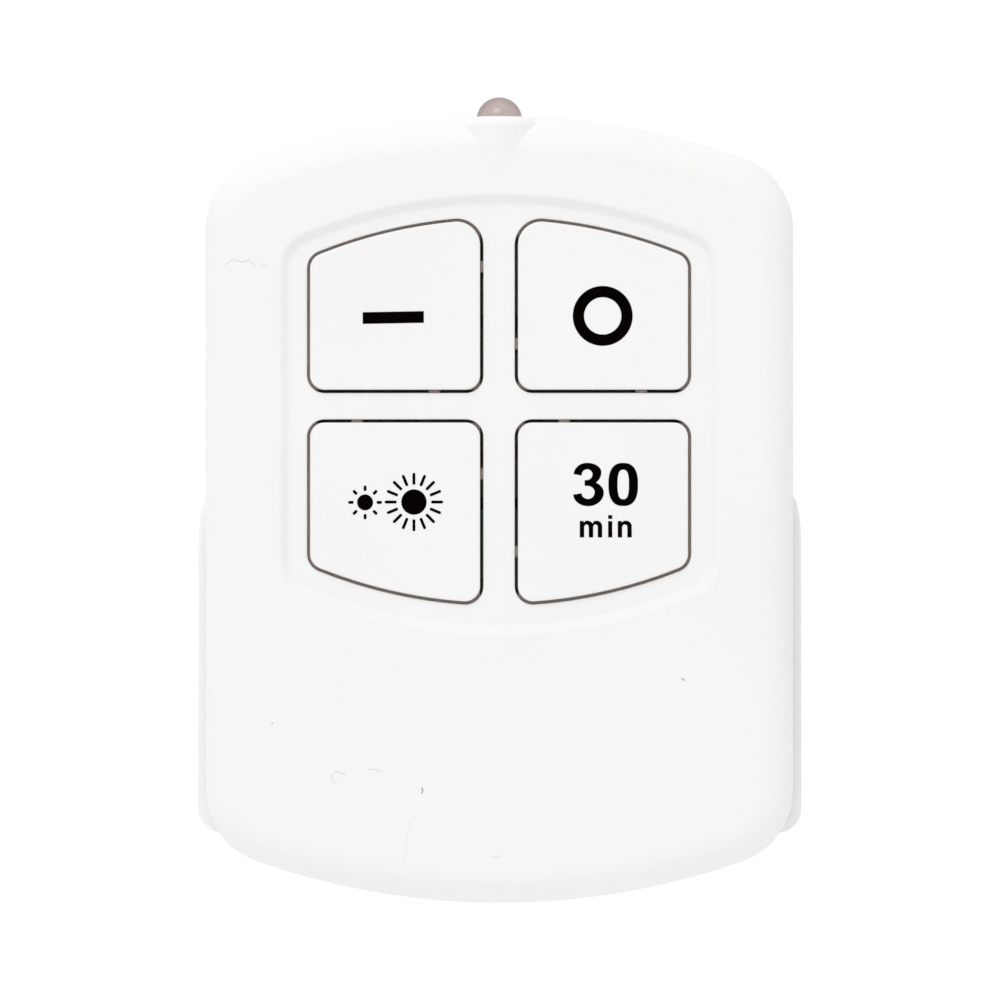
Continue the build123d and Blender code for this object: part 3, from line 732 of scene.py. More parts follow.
# %% Round the keys, the holder, the back and the cells
key_round, holder_round, back_round, cell_round = 0.2 * mm, 0.25 * mm, 0.12 * mm, 0.3 * mm
key_reach, back_reach = 0.1 * mm, 0.2 * mm
foot_height, hole_rise, hole_reach = 3.5 * mm, 11 * mm, 5 * mm
round_steps = 3
back_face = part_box("rear_shell")[1].y


def key_rule(middle, bend):
    """Rounding of a key: its front edges."""
    return key_round if middle.y < key_front + key_reach else 0.0


def holder_rule(middle, bend):
    """Rounding of the holder: none at its foot and round its screw holes."""
    from_hole = math.hypot(middle.x, abs(middle.z) - hole_rise)
    free = middle.z > holder_low.z + foot_height and from_hole > hole_reach
    return holder_round if bend > steep_bend and free else 0.0


def back_rule(middle, bend):
    """Rounding of the back and its cover: the edges of their outer faces."""
    return back_round if middle.y > back_face - back_reach else 0.0


def cell_rule(middle, bend):
    """Rounding of a cell: all its edges."""
    return cell_round


for key in key_names:
    rounded_piece(key + "_key", key + "_key_cap", key_white, key_rule, round_steps)
rounded_piece("wall_holder", "slide_in_holder", holder_white, holder_rule, round_steps, holder_mesh)
rounded_piece("rear_shell", "case_back", case_white, back_rule, round_steps)
rounded_piece("battery_cover", "sliding_cover", case_white, back_rule, round_steps)
for side in ("upper", "lower"):
    rounded_piece(side + "_cell", side + "_battery", jackets[side + "_cell"], cell_rule, round_steps)

# %% [markdown]
# Thin bent links under the case join the keys. Where a link leaves its key, its foot stands up in the
# gap and shows as a small pale tick. A foot is a tapered block, and the two of a key are one mesh.

# %% Feet of the links in the key gaps
foot_across = 0.28 * mm
# Depth and length of a foot at its top and at its root.
foot_top, foot_root = (case_front + 2.1 * mm, 1.05 * mm), (case_front + 2.52 * mm, 1.24 * mm)
# Place of each foot in millimetres from the middle of the case, and whether its gap is upright.
link_feet = {
    "on": [(-1.88, 26.38, True), (-7.06, 12.8, False)],
    "off": [(1.88, 17.98, True), (15.46, 12.8, False)],
    "dimmer": [(-1.88, 3.85, True), (-15.46, 9.58, False)],
    "timer": [(1.88, -4.55, True), (7.06, 9.58, False)],
}


def stand_foot(work, x, z, upright):
    """Tapered block in a gap; x and z in millimetres from the middle of the case."""
    rings = []
    for depth, length in (foot_top, foot_root):
        wide, tall = (foot_across, length) if upright else (length, foot_across)
        ring = []
        for right, up in ((-0.5, -0.5), (0.5, -0.5), (0.5, 0.5), (-0.5, 0.5)):
            ring.append(work.verts.new((x * mm + right * wide, depth, case_middle + z * mm + up * tall)))
        work.faces.new(ring)
        rings.append(ring)
    top, root = rings
    for number in range(len(top)):
        work.faces.new((top[number], top[number - 1], root[number - 1], root[number]))


for key, feet in link_feet.items():
    feet_work = bmesh.new()
    for x, z, upright in feet:
        stand_foot(feet_work, x, z, upright)
    bmesh.ops.recalc_face_normals(feet_work, faces=feet_work.faces)
    feet_mesh = close_mesh(feet_work, bpy.data.meshes.new(key + "_feet"))
    feet_mesh.materials.append(key_white)
    feet_piece = put_in_scene(key + "_link_feet", feet_mesh)
    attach(feet_piece, key + "_button")
print("link feet:", sum(len(feet) for feet in link_feet.values()))

# %% [markdown]
# ## Printed signs
#
# A sign is a thin film of ink. Each one is a flat outline that is filled, given the thickness of
# the film, and laid on its key so that it moves with the key. Round stretches of an outline come
# from one arc helper, so a sign needs only a few centres and radii.

# %% Helpers: thin film of ink from flat outlines
ink_thickness = 0.03 * mm
ink_sink = 0.005 * mm


def arc(x, y, width, height, first, last, count):
    """Points along an elliptical arc between two angles in degrees; width and height are radii."""
    points = []
    for step in range(count + 1):
        angle = math.radians(first + (last - first) * step / count)
        points.append((x + width * math.cos(angle), y + height * math.sin(angle)))
    return points


def full_turn(radius, count):
    """Points all the way round a circle."""
    return arc(0, 0, radius, radius, 0, 360 - 360 / count, count - 1)


def film_mesh(name, loops):
    """Closed film from flat loops in millimetres; a loop inside another is a hole."""
    work = bmesh.new()
    rims = []
    for loop in loops:
        corners = [work.verts.new((x * mm, y * mm, 0.0)) for x, y in loop]
        rims += [work.edges.new((a, b)) for a, b in zip(corners, corners[1:] + corners[:1])]
    bmesh.ops.triangle_fill(work, use_beauty=True, use_dissolve=False, edges=rims, normal=(0, 0, 1))
    foot_faces, foot_corners = list(work.faces), list(work.verts)
    raised = {}
    for corner in foot_corners:
        raised[corner] = work.verts.new(corner.co + Vector((0, 0, ink_thickness)))
    for face in foot_faces:
        work.faces.new([raised[corner] for corner in face.verts])
    for a, b in [rim.verts for rim in rims]:
        work.faces.new((a, b, raised[b], raised[a]))
    bmesh.ops.recalc_face_normals(work, faces=work.faces)
    return close_mesh(work, bpy.data.meshes.new(name))


def place_on(depth, x, z):
    """Matrix that lays a flat drawing (in metres, facing +Z) on a plane that faces the user."""
    return Matrix.Translation((x, depth, case_middle + z)) @ Matrix.Rotation(math.radians(90), 4, "X")


def lay_film(mesh, name, key, x, z):
    """Lays a film on a key's front, x and z in millimetres from the middle of the case."""
    mesh.transform(place_on(key_front + ink_sink, x * mm, z * mm))
    mesh.materials.clear()
    mesh.materials.append(sign_ink)
    piece = put_in_scene(name, mesh)
    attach(piece, key + "_button")
    print(name, "faces", len(mesh.polygons))


print("film of ink:", ink_thickness / mm, "mm thick")

# %% [markdown]
# The upper keys carry the usual signs for on and off: a bar and a ring.

# %% Bar and ring
bar_length, bar_height, bar_rise = 6.62, 1.26, 0.06
bar_x, bar_z = -11.45, 20.78
bar_loop = [(-bar_length / 2, -bar_height / 2 - bar_rise), (bar_length / 2, -bar_height / 2 + bar_rise),
            (bar_length / 2, bar_height / 2 + bar_rise), (-bar_length / 2, bar_height / 2 - bar_rise)]
lay_film(film_mesh("bar", [bar_loop]), "on_bar", "on", bar_x, bar_z)

ring_outer, ring_inner, ring_steps = 3.24, 2.02, 72
ring_x, ring_z = 11.23, 20.95
ring_loops = [full_turn(radius, ring_steps) for radius in (ring_outer, ring_inner)]
lay_film(film_mesh("ring", ring_loops), "off_ring", "off", ring_x, ring_z)

# %% [markdown]
# The dimmer key shows a small and a large sun. The rays repeat round a circle, which is a job for
# Geometry Nodes: a circle gives one point for each ray, a thin bar with round ends is placed on
# every point and turned outwards, and a disc joins them. Both start as filled curves that get the
# thickness of the film. The same tree draws both suns, each with its own inputs. First come the
# helpers that start, join, end and run such a tree.

# %% Helpers for geometry trees
def start_tree(name, inputs):
    """Starts a geometry tree from the labels and kinds of its inputs; returns it, its inputs and its end."""
    tree = bpy.data.node_groups.new(name, "GeometryNodeTree")
    for label, kind in inputs.items():
        tree.interface.new_socket(label, in_out="INPUT", socket_type="NodeSocket" + kind)
    tree.interface.new_socket("Geometry", in_out="OUTPUT", socket_type="NodeSocketGeometry")
    return tree, tree.nodes.new("NodeGroupInput").outputs, tree.nodes.new("NodeGroupOutput")


def join(tree, *parts):
    """Joins geometry and returns the whole."""
    node = tree.nodes.new("GeometryNodeJoinGeometry")
    for part in parts:
        tree.links.new(part, node.inputs[0])
    return node.outputs[0]


def end_tree(tree, instances, material, result):
    """Makes placed copies real, gives them a material and hands them to the tree's result."""
    real = add(tree, "GeometryNodeRealizeInstances", Geometry=instances)
    finished = add(tree, "GeometryNodeSetMaterial", Geometry=real.outputs[0], Material=material)
    tree.links.new(finished.outputs[0], result.inputs["Geometry"])


def grow(tree, name, **values):
    """Runs a geometry tree with its inputs set and returns the result as a plain mesh."""
    maker = put_in_scene(name, bpy.data.meshes.new(name))
    modifier = maker.modifiers.new("tree", "NODES")
    modifier.node_group = tree
    for item in tree.interface.items_tree:
        label = item.name.replace(" ", "_")
        if item.in_out == "INPUT" and label in values:
            modifier[item.identifier] = values[label]
    mesh = baked_mesh(maker)
    bpy.data.objects.remove(maker)
    return mesh


print("tree helpers ready")

# %% [markdown]
# In the tree of a sun, a ray is a rectangle with rounded corners and the disc a circle. The sizes of
# both are inputs, so the small sun has eight short rays and the large one sixteen long ones.

# %% Geometry tree: sun with rays
film_merge = 0.0001 * mm
tip_share, tip_steps = 0.45, 4
disc_steps = 48
ray_width = 0.31 * mm


def film_nodes(tree, curve, thickness):
    """Fills a flat curve and gives it thickness: a raised copy with sides, and the turned-over foot."""
    filled = add(tree, "GeometryNodeFillCurve", Curve=curve).outputs["Mesh"]
    raised = add(tree, "GeometryNodeExtrudeMesh", Mesh=filled, Offset_Scale=thickness, Individual=False)
    foot = add(tree, "GeometryNodeFlipFaces", Mesh=filled)
    both = join(tree, raised.outputs["Mesh"], foot.outputs["Mesh"])
    return add(tree, "GeometryNodeMergeByDistance", Geometry=both, Distance=film_merge).outputs["Geometry"]


def sun_tree():
    """Tree with inputs for the number of rays and the sizes of disc and rays."""
    sizes = ("Disc Radius", "Ray Start", "Ray End", "Ray Width", "Film")
    tree, given, result = start_tree(
        "sun with rays", {"Rays": "Int", **dict.fromkeys(sizes, "Float"), "Ink": "Material"})
    middle = calculate(tree, "MULTIPLY", calculate(tree, "ADD", given["Ray Start"], given["Ray End"]), 0.5)
    length = calculate(tree, "SUBTRACT", given["Ray End"], given["Ray Start"])
    strip = add(tree, "GeometryNodeCurvePrimitiveQuadrilateral", Width=length, Height=given["Ray Width"])
    tip = calculate(tree, "MULTIPLY", given["Ray Width"], tip_share)
    soft = add(tree, "GeometryNodeFilletCurve", Curve=strip.outputs["Curve"], Radius=tip)
    soft.mode = "POLY"
    soft.inputs["Count"].default_value = tip_steps
    ray = film_nodes(tree, soft.outputs["Curve"], given["Film"])
    circle = add(tree, "GeometryNodeMeshCircle", Vertices=given["Rays"], Radius=middle)
    place = tree.nodes.new("GeometryNodeInputPosition").outputs[0]
    outwards = add(tree, "FunctionNodeAlignRotationToVector", Vector=place)
    outwards.axis = "X"
    rays = add(tree, "GeometryNodeInstanceOnPoints", Points=circle.outputs["Mesh"],
               Instance=ray, Rotation=outwards.outputs["Rotation"])
    rim = add(tree, "GeometryNodeCurvePrimitiveCircle", Resolution=disc_steps, Radius=given["Disc Radius"])
    disc = film_nodes(tree, rim.outputs["Curve"], given["Film"])
    end_tree(tree, join(tree, rays.outputs["Instances"], disc), given["Ink"], result)
    return tree


rays_and_disc = sun_tree()
suns = {
    "small_sun": (-14.5, 0.76, dict(Rays=8, Disc_Radius=0.86 * mm, Ray_Start=1.24 * mm, Ray_End=1.83 * mm)),
    "large_sun": (-9.21, 0.8, dict(Rays=16, Disc_Radius=1.37 * mm, Ray_Start=1.87 * mm, Ray_End=3.16 * mm)),
}
for name, (x, z, sizes) in suns.items():
    film = grow(rays_and_disc, name, Ray_Width=ray_width, Film=ink_thickness, Ink=sign_ink, **sizes)
    lay_film(film, name, "dimmer", x, z)

# %% [markdown]
# The timer key reads 30 min. Its plain bold figures are drawn from arcs: a nought is one oval in
# another, a three is two bowls that meet at a waist, and m and n are stems under arches.

# %% Outlines of the figures and letters
oval_steps, bowl_steps = 60, 9


def oval(x, y, width, height, power):
    """Oval between an ellipse (power 2) and a box (high power); width and height are radii."""
    loop = []
    for across, up in full_turn(1, oval_steps):
        right = math.copysign(width * abs(across) ** (2 / power), across)
        rise = math.copysign(height * abs(up) ** (2 / power), up)
        loop.append((x + right, y + rise))
    return loop


def nought(x, y):
    """Bold 0: an upright oval with a narrow counter."""
    half_width, half_height, power = 1.6, 2.33, 2.5
    counter_width, counter_height, counter_power = 0.62, 1.6, 2.7
    middle = (x + half_width, y + half_height)
    outline = oval(*middle, half_width, half_height, power)
    return [outline, oval(*middle, counter_width, counter_height, counter_power)]


def three(x, y):
    """Bold 3: the outer bowls from the upper arm to the lower one, then the inner bowls back."""
    # Each bowl is an arc: its middle, its two radii, and its first and last angle.
    outer = [
        (1.48, 3.35, 1.45, 1.34, 174, 90),
        (1.48, 3.7, 1.56, 0.99, 88, 2),
        (1.9, 3.7, 1.14, 1.3, -2, -60),
        (1.9, 1.46, 1.4, 1.17, 66, 2),
        (1.62, 1.46, 1.68, 1.46, -2, -88),
        (1.62, 1.3, 1.62, 1.3, -90, -178),
    ]
    inner_low = [
        (1.62, 1.39, 0.71, 0.61, -180, -92),
        (1.62, 1.53, 0.7, 0.75, -88, -2),
        (1.5, 1.53, 0.82, 0.68, 2, 90),
    ]
    waist = [(1.24, 2.21), (1.24, 2.82)]
    inner_high = [
        (1.4, 3.44, 0.69, 0.62, -90, -2),
        (1.52, 3.44, 0.57, 0.56, 2, 88),
        (1.52, 3.4, 0.61, 0.6, 92, 188),
    ]
    loop = [point for bowl in outer + inner_low for point in arc(*bowl, bowl_steps)]
    loop += waist
    loop += [point for bowl in inner_high for point in arc(*bowl, bowl_steps)]
    return [[(x + across, y + up) for across, up in loop]]


def arches(x, y, pitch, count):
    """Lower-case n or m: a stem and one or two arches with legs."""
    stem, tall, rise, overshoot = 0.47, 1.78, 0.56, 0.03
    arch_start, arch_valley = 120, 42
    valley_inset, valley_drop = 0.04, 0.26
    counter_drop, counter_rise = 0.7, 0.33
    top_inset, spur_inset, spur_drop = 0.06, 0.03, 0.2
    reach_share = 0.62
    reach = reach_share * pitch
    counter = (pitch - stem) / 2
    spur = (x + stem - spur_inset, y + tall - spur_drop)
    loop = [(x, y), (x, y + tall), (x + stem - top_inset, y + tall), spur]
    for step in range(count):
        right = x + stem + pitch * (step + 1)
        last = step == count - 1
        arch_end = 0 if last else arch_valley
        loop += arc(right - reach, y + tall - rise, reach, rise + overshoot,
                    arch_start, arch_end, bowl_steps)
        if not last:
            loop.append((right - valley_inset, y + tall - valley_drop))
    for step in reversed(range(count)):
        right = x + stem + pitch * (step + 1)
        loop += [(right, y), (right - stem, y)]
        loop += arc(right - stem - counter, y + tall - counter_drop, counter, counter_rise,
                    0, 180, bowl_steps)
    loop.append((x + stem, y))
    return [loop]


def block(x, y, wide, tall):
    """Upright rectangle, placed by its lower left corner."""
    return [(x, y), (x + wide, y), (x + wide, y + tall), (x, y + tall)]


def letter_i(x, y):
    """Lower-case i: stem and dot."""
    stem, tall, dot, dot_foot = 0.44, 1.76, 0.4, 2.01
    return [block(x, y, stem, tall), block(x, y + dot_foot, stem, dot)]


print("outlines ready, steps along a bowl:", bowl_steps)

# %% [markdown]
# The outlines are set side by side on two lines, and each line becomes one film.

# %% Figures and word on the timer key
sign_x, figures_foot, word_foot = 11.64, 0.35, -3.03
figures = three(-3.6, 0.0) + nought(0.21, 0.02)
lay_film(film_mesh("figures", figures), "timer_figures", "timer", sign_x, figures_foot)
word = arches(-2.89, 0.0, 0.975, 2) + letter_i(0.18, 0.0) + arches(1.22, 0.0, 1.04, 1)
lay_film(film_mesh("word", word), "timer_word", "timer", sign_x, word_foot)

# %% [markdown]
# ## Emitter
#
# The emitter is a turned shape: rim, barrel and dome. Its profile is spun round the axis with many
# more steps than the solid has, because clear resin shows every facet.

# %% Spin the lens
rim_radius, rim_height, lens_radius, edge_round = 2.9 * mm, 1.0 * mm, 2.5 * mm, 0.12 * mm
rim_foot, rim_top = emitter_low.z, emitter_low.z + rim_height
dome_foot = emitter_high.z - lens_radius
dome_steps, lens_steps = 24, 72
sharp_angle = math.radians(40)


def spun(name, profile, steps):
    """Closed turned shape from a profile of (radius, height) points that starts and ends on the axis."""
    work = bmesh.new()
    rings = []
    for radius, height in profile:
        ring = []
        for step in range(steps if radius > 0.0 else 1):
            turn = 2 * math.pi * step / steps
            x = emitter_middle.x + radius * math.cos(turn)
            y = emitter_middle.y + radius * math.sin(turn)
            ring.append(work.verts.new((x, y, height)))
        rings.append(ring)
    for lower, upper in zip(rings, rings[1:]):
        for step in range(steps):
            after = (step + 1) % steps
            corners = [lower[step % len(lower)], lower[after % len(lower)],
                       upper[after % len(upper)], upper[step % len(upper)]]
            work.faces.new(list(dict.fromkeys(corners)))
    bmesh.ops.recalc_face_normals(work, faces=work.faces)
    mesh = close_mesh(work, bpy.data.meshes.new(name))
    mesh.shade_smooth()
    mesh.set_sharp_from_angle(angle=sharp_angle)
    return mesh


lens_profile = [
    (0.0, rim_foot),
    (rim_radius - edge_round, rim_foot),
    (rim_radius, rim_foot + edge_round),
    (rim_radius, rim_top - edge_round),
    (rim_radius - edge_round, rim_top),
    (lens_radius, rim_top),
]
for step in range(dome_steps + 1):
    angle = math.radians(90) * step / dome_steps
    radius = lens_radius * math.cos(angle) if step < dome_steps else 0.0
    lens_profile.append((radius, dome_foot + lens_radius * math.sin(angle)))
lens = put_in_scene("emitter_lens", spun("lens", lens_profile, lens_steps))
lens.data.materials.append(emitter_resin)
hand_over(lens, "infrared_led")
print("lens faces", len(lens.data.polygons))

# %% [markdown]
# Inside the lens stand the two posts of its lead frame, one a little taller than the other, and
# between them the turned cup that holds the emitting chip.

# %% Lead frame inside the lens
post_size, post_side = 0.5 * mm, 1.27 * mm
post_foot = rim_foot + 0.05 * mm
cup_middle = rim_foot + 3.6 * mm
cup_foot, cup_floor, cup_top = cup_middle - 0.5 * mm, cup_middle + 0.15 * mm, cup_middle + 0.8 * mm
cup_radius, cup_wall, cup_steps = 0.95 * mm, 0.14 * mm, 32
cup_foot_radius, cup_floor_radius = 0.55 * mm, 0.36 * mm
post_tops = {-1: cup_middle - 0.3 * mm, 1: cup_middle + 0.5 * mm}
cup_profile = [
    (0.0, cup_foot),
    (cup_foot_radius, cup_foot),
    (cup_radius, cup_top),
    (cup_radius - cup_wall, cup_top),
    (cup_floor_radius, cup_floor),
    (0.0, cup_floor),
]
lead_frame = open_mesh(spun("cup", cup_profile, cup_steps))
for side, post_top in post_tops.items():
    middle = Vector((emitter_middle.x + side * post_side, emitter_middle.y, (post_foot + post_top) / 2))
    post = bmesh.ops.create_cube(lead_frame, size=1.0)["verts"]
    bmesh.ops.scale(lead_frame, vec=(post_size, post_size, post_top - post_foot), verts=post)
    bmesh.ops.translate(lead_frame, vec=middle, verts=post)
lead_frame_mesh = close_mesh(lead_frame, bpy.data.meshes.new("lead_frame"))
lead_frame_mesh.materials.append(tinned)
lead_frame_piece = put_in_scene("emitter_lead_frame", lead_frame_mesh)
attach(lead_frame_piece, "remote")
print("lead frame faces", len(lead_frame_mesh.polygons))

# %% [markdown]
# ## Case screws
#
# The two case screws sit in wells in the back. One head is cut in a geometry tree, a cross recess
# taken out of a short cylinder, and placed on one point for each screw.

# %% Geometry tree: screws with a cross recess
head_steps, shank_steps = 40, 28
recess_length = 5.0


def moved(tree, geometry, rise):
    """Geometry moved up or down."""
    offset = add(tree, "ShaderNodeCombineXYZ", Z=rise).outputs["Vector"]
    return add(tree, "GeometryNodeTransform", Geometry=geometry, Translation=offset).outputs["Geometry"]


def screw_tree():
    """Tree that places a screw, head and shank, on two points side by side."""
    sizes = ("Half Spacing", "Head Radius", "Head Height", "Shank Radius", "Shank Length", "Recess")
    tree, given, result = start_tree(
        "cross-recess screws", {**dict.fromkeys(sizes, "Float"), "Metal": "Material"})
    narrow, deep = given["Recess"], given["Head Height"]
    wide = calculate(tree, "MULTIPLY", narrow, recess_length)
    lift = calculate(tree, "MULTIPLY", deep, 0.5)
    head = add(tree, "GeometryNodeMeshCylinder", Vertices=head_steps,
               Radius=given["Head Radius"], Depth=deep)
    for x, y in ((wide, narrow), (narrow, wide)):
        size = add(tree, "ShaderNodeCombineXYZ", X=x, Y=y, Z=deep)
        cutter = add(tree, "GeometryNodeMeshCube", Size=size.outputs["Vector"])
        cut = tree.nodes.new("GeometryNodeMeshBoolean")
        cut.operation = "DIFFERENCE"
        cut.solver = "EXACT"
        set_inputs(tree, cut, Mesh_1=head.outputs["Mesh"], Mesh_2=moved(tree, cutter.outputs["Mesh"], lift))
        head = cut
    shank = add(tree, "GeometryNodeMeshCylinder", Vertices=shank_steps,
                Radius=given["Shank Radius"], Depth=given["Shank Length"])
    reach = calculate(tree, "ADD", given["Shank Length"], deep)
    hung = moved(tree, shank.outputs["Mesh"], calculate(tree, "MULTIPLY", reach, -0.5))
    screw = join(tree, head.outputs["Mesh"], hung)
    left = add(tree, "ShaderNodeCombineXYZ", X=calculate(tree, "MULTIPLY", given["Half Spacing"], -1.0))
    right = add(tree, "ShaderNodeCombineXYZ", X=given["Half Spacing"])
    line = add(tree, "GeometryNodeMeshLine", Count=2, Start_Location=left.outputs["Vector"])
    line.mode = "END_POINTS"
    tree.links.new(right.outputs["Vector"], line.inputs["Offset"])
    placed = add(tree, "GeometryNodeInstanceOnPoints", Points=line.outputs["Mesh"], Instance=screw)
    end_tree(tree, placed.outputs["Instances"], given["Metal"], result)
    return tree


screw_low, screw_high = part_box("case_screws")
head_radius, head_height = (screw_high.z - screw_low.z) / 2, 1.4 * mm
shank_radius, shank_length = 1.1 * mm, screw_high.y - screw_low.y - head_height
recess_width = 0.5 * mm
screws_mesh = grow(
    screw_tree(), "screws", Half_Spacing=screw_high.x - head_radius,
    Head_Radius=head_radius, Head_Height=head_height,
    Shank_Radius=shank_radius, Shank_Length=shank_length, Recess=recess_width, Metal=zinc_screw)
screw_place = Vector((0, screw_high.y - head_height / 2, (screw_low.z + screw_high.z) / 2))
screws_mesh.transform(Matrix.Translation(screw_place) @ Matrix.Rotation(math.radians(-90), 4, "X"))
screws = put_in_scene("recessed_screws", screws_mesh)
hand_over(screws, "case_screws")
print("screws faces", len(screws_mesh.polygons))

# %% [markdown]
# ## Lint
#
# The case isn't quite clean: a few hair-thin pale fibres and some dark flecks lie on its face. Each
# is a short thread along a given curve, laid on the face, and those of one kind are one mesh.

# %% Lint on the face of the case
face_edge = case_high.x - 4.0 * mm
face_round = 4.0 * mm
fibre_radius, faint_radius, fleck_radius = 0.034 * mm, 0.012 * mm, 0.05 * mm
thread_merge = 0.001 * mm
thread_lift, thread_order = 0.5, 3
fibre_paths = [
    [(-29.6, 26.5), (-28.9, 27.1), (-28.4, 27.0), (-27.8, 26.7),
     (-27.1, 27.1), (-26.7, 26.6), (-26.4, 26.2)],
    [(-25.8, 26.2), (-25.5, 26.7), (-25.3, 26.4), (-25.1, 26.1)],
    [(-16.6, -28.8), (-17.1, -28.4), (-17.8, -28.4), (-18.2, -28.9), (-18.0, -29.5), (-17.6, -29.8)],
    [(-14.2, -28.1), (-13.8, -28.2), (-13.4, -28.1), (-12.8, -28.4)],
    [(-0.8, -37.5), (-0.3, -37.9), (0.1, -37.5)],
    [(25.45, -9.8), (25.6, -9.9)],
]
faint_paths = [[(-9.2, -32.9), (-9.7, -33.8), (-10.0, -36.2), (-10.2, -38.4)]]
fleck_paths = [
    [(19.75, -18.25), (20.05, -18.5)],
    [(-8.4, -30.1), (-8.1, -30.4), (-8.4, -30.7)],
    [(-24.6, -23.1), (-24.5, -23.2)],
]


def face_depth(x):
    """Depth of the case's face at a side distance, round towards the left and right edges."""
    past = max(0.0, abs(x) - face_edge)
    return case_front + face_round - math.sqrt(face_round ** 2 - past ** 2)


def thread(path, radius):
    """Curve along a given path on the face, in millimetres from the middle of the case."""
    curve = bpy.data.curves.new("thread", "CURVE")
    curve.dimensions = "3D"
    curve.bevel_depth = radius
    curve.bevel_resolution = 1
    curve.use_fill_caps = True
    spline = curve.splines.new("NURBS")
    spline.points.add(len(path) - 1)
    for point, (x, z) in zip(spline.points, path):
        point.co = (x * mm, face_depth(x * mm) - radius * thread_lift, case_middle + z * mm, 1.0)
    spline.order_u = min(thread_order, len(path))
    spline.use_endpoint_u = True
    return curve


def lay_threads(name, paths, radius, finish):
    """Lays threads of one kind on the face, all in one mesh."""
    work = bmesh.new()
    for path in paths:
        maker = put_in_scene("thread", thread(path, radius))
        work.from_mesh(baked_mesh(maker))
        bpy.data.objects.remove(maker)
    bmesh.ops.remove_doubles(work, verts=work.verts, dist=thread_merge)
    bmesh.ops.recalc_face_normals(work, faces=work.faces)
    mesh = close_mesh(work, bpy.data.meshes.new(name))
    mesh.materials.append(finish)
    piece = put_in_scene(name, mesh)
    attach(piece, "remote")
    print(name, "faces", len(mesh.polygons))


fibre_finish = mottled("pale fibre", (0.68, 0.66, 0.64, 1), (0.79, 0.77, 0.75, 1), 0.8, 3000.0, 0.01 * mm)
fleck_finish = mottled("dark fleck", (0.24, 0.22, 0.2, 1), (0.34, 0.32, 0.3, 1), 0.8, 3000.0, 0.01 * mm)
lay_threads("face_fibres", fibre_paths, fibre_radius, fibre_finish)
lay_threads("face_faint_fibre", faint_paths, faint_radius, fibre_finish)
lay_threads("face_flecks", fleck_paths, fleck_radius, fleck_finish)

# %% [markdown]
# ## Camera and light
#
# The picture was taken almost straight on with a long lens, a touch from the right, so that a
# little more of the holder shows on that side. The lens follows from the width that the picture
# spans at the case and the distance of the camera.

# %% Camera
picture_width = 109.38 * mm
camera_distance = 0.6
picture_middle = Vector((0.06 * mm, -14 * mm, case_middle + 1.02 * mm))
side_step = 5 * mm


def aim(piece, place):
    """Puts a camera or lamp in its place and points it at the middle of the picture."""
    piece.location = place
    piece.rotation_euler = (picture_middle - piece.location).to_track_quat("-Z", "Y").to_euler()


camera = bpy.data.cameras.new("camera")
camera.sensor_width = 36.0
camera.lens = camera.sensor_width * camera_distance / picture_width
scene.camera = put_in_scene("camera", camera)
aim(scene.camera, picture_middle + Vector((side_step, -camera_distance, 0)))
print("lens", round(camera.lens, 1), "mm")

# %% [markdown]
# White on white needs quiet light: a large soft lamp from above, a little to the left, draws the rim
# of the key field, and a pale world fills the rest. The world is pure white to the camera, in
# reflections, and behind the object on the left; elsewhere it gives only its share of light, so the
# plastic keeps its tone and its right side is a little darker.

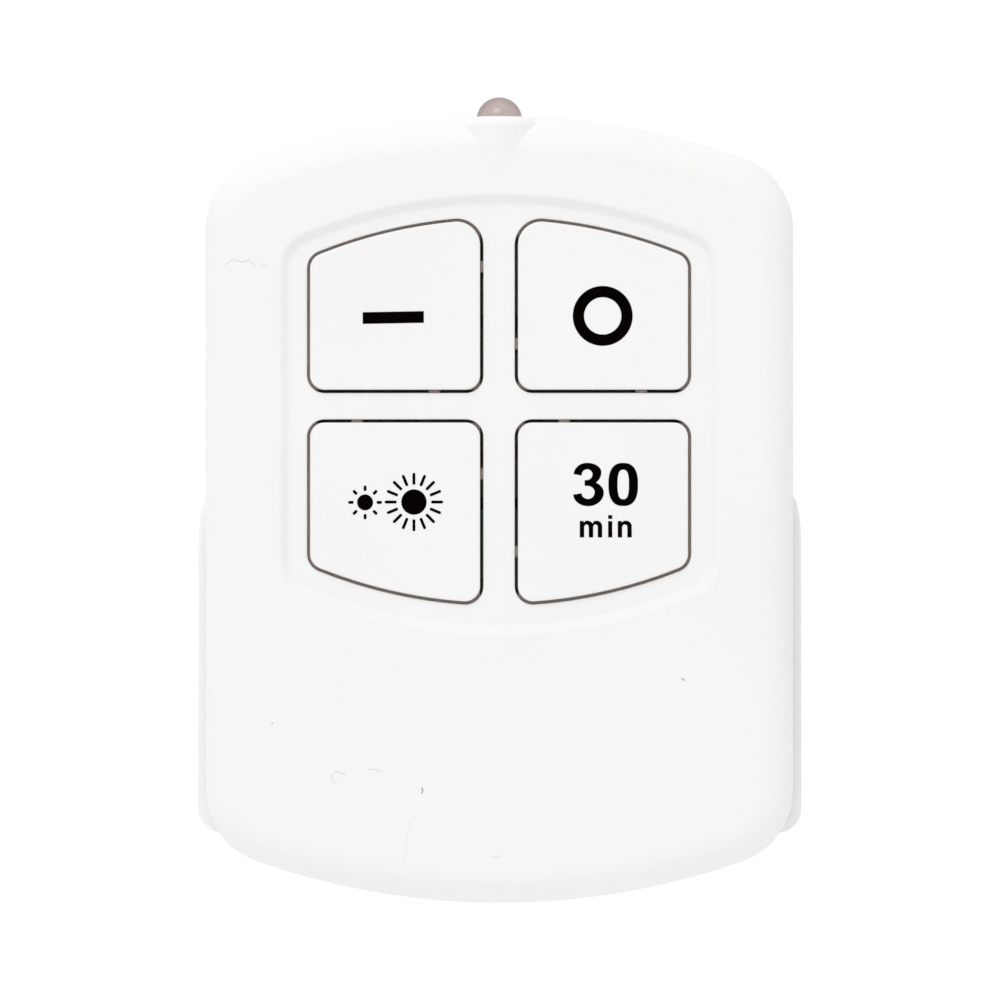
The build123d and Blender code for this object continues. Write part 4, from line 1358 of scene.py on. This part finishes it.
# %% World and lamp
pure_white = (1.0, 1.0, 1.0, 1.0)
front_share = 0.87
behind_blend, left_blend = 0.1, 0.6
lamp_place = Vector((-0.2, -0.6, 0.72))
lamp_size, lamp_power = 0.45, 1.75
world = bpy.data.worlds.new("studio")
world.use_nodes = True
scene.world = world
sky = world.node_tree
fill = set_inputs(sky, sky.nodes["Background"], Color=pure_white, Strength=front_share)
white = add(sky, "ShaderNodeBackground", Color=pure_white, Strength=1.0)
ray = sky.nodes.new("ShaderNodeLightPath").outputs
seen = calculate(sky, "MAXIMUM", ray["Is Camera Ray"], ray["Is Glossy Ray"])
seen = calculate(sky, "MAXIMUM", seen, ray["Is Transmission Ray"])
heading = sky.nodes.new("ShaderNodeTexCoord").outputs["Generated"]
direction = add(sky, "ShaderNodeSeparateXYZ", Vector=heading)
behind = spread(sky, direction.outputs["Y"], -behind_blend, behind_blend, 0.0, 1.0)
left = spread(sky, direction.outputs["X"], -left_blend, left_blend, 1.0, 0.0)
seen = calculate(sky, "MAXIMUM", seen, calculate(sky, "MULTIPLY", behind, left))
choice = add(sky, "ShaderNodeMixShader", Fac=seen)
sky.links.new(fill.outputs[0], choice.inputs[1])
sky.links.new(white.outputs[0], choice.inputs[2])
sky.links.new(choice.outputs[0], sky.nodes["World Output"].inputs["Surface"])
lamp = bpy.data.lights.new("upper lamp", "AREA")
lamp.size = lamp_size
lamp.energy = lamp_power
aim(put_in_scene("upper lamp", lamp), lamp_place)
scene.view_settings.view_transform = "Standard"
print("lamp:", lamp.name, "world nodes:", len(sky.nodes))

# %% [markdown]
# A pale floor lies well below the object, because the real one hangs on a wall and its cover needs
# room to slide down. The floor catches a soft shadow and fades out towards its rim.

# %% Floor
floor_drop, floor_reach = 36 * mm, 240 * mm
fade_start, fade_end = 0.4 * floor_reach, 0.98 * floor_reach
floor_height = cad_box[0][2] - floor_drop
floor_steps, floor_pale = 96, (0.95, 0.95, 0.95, 1)
floor_work = bmesh.new()
bmesh.ops.create_circle(floor_work, cap_ends=True, segments=floor_steps, radius=floor_reach)
floor_mesh = close_mesh(floor_work, bpy.data.meshes.new("floor"))
floor_mesh.transform(Matrix.Translation((0, 0, floor_height)))
floor_finish, tree, shader = start_finish("floor", Roughness=0.9, Base_Color=floor_pale)
flat = calculate(tree, "MULTIPLY", own_place(tree), (1, 1, 0), "ShaderNodeVectorMath")
length = tree.nodes.new("ShaderNodeVectorMath")
length.operation = "LENGTH"
tree.links.new(flat, length.inputs[0])
set_inputs(tree, shader, Alpha=spread(tree, length.outputs["Value"], fade_start, fade_end, 1.0, 0.0))
floor_mesh.materials.append(floor_finish)
floor = put_in_scene("floor", floor_mesh)
print("floor at z", round(floor_height / mm, 1))
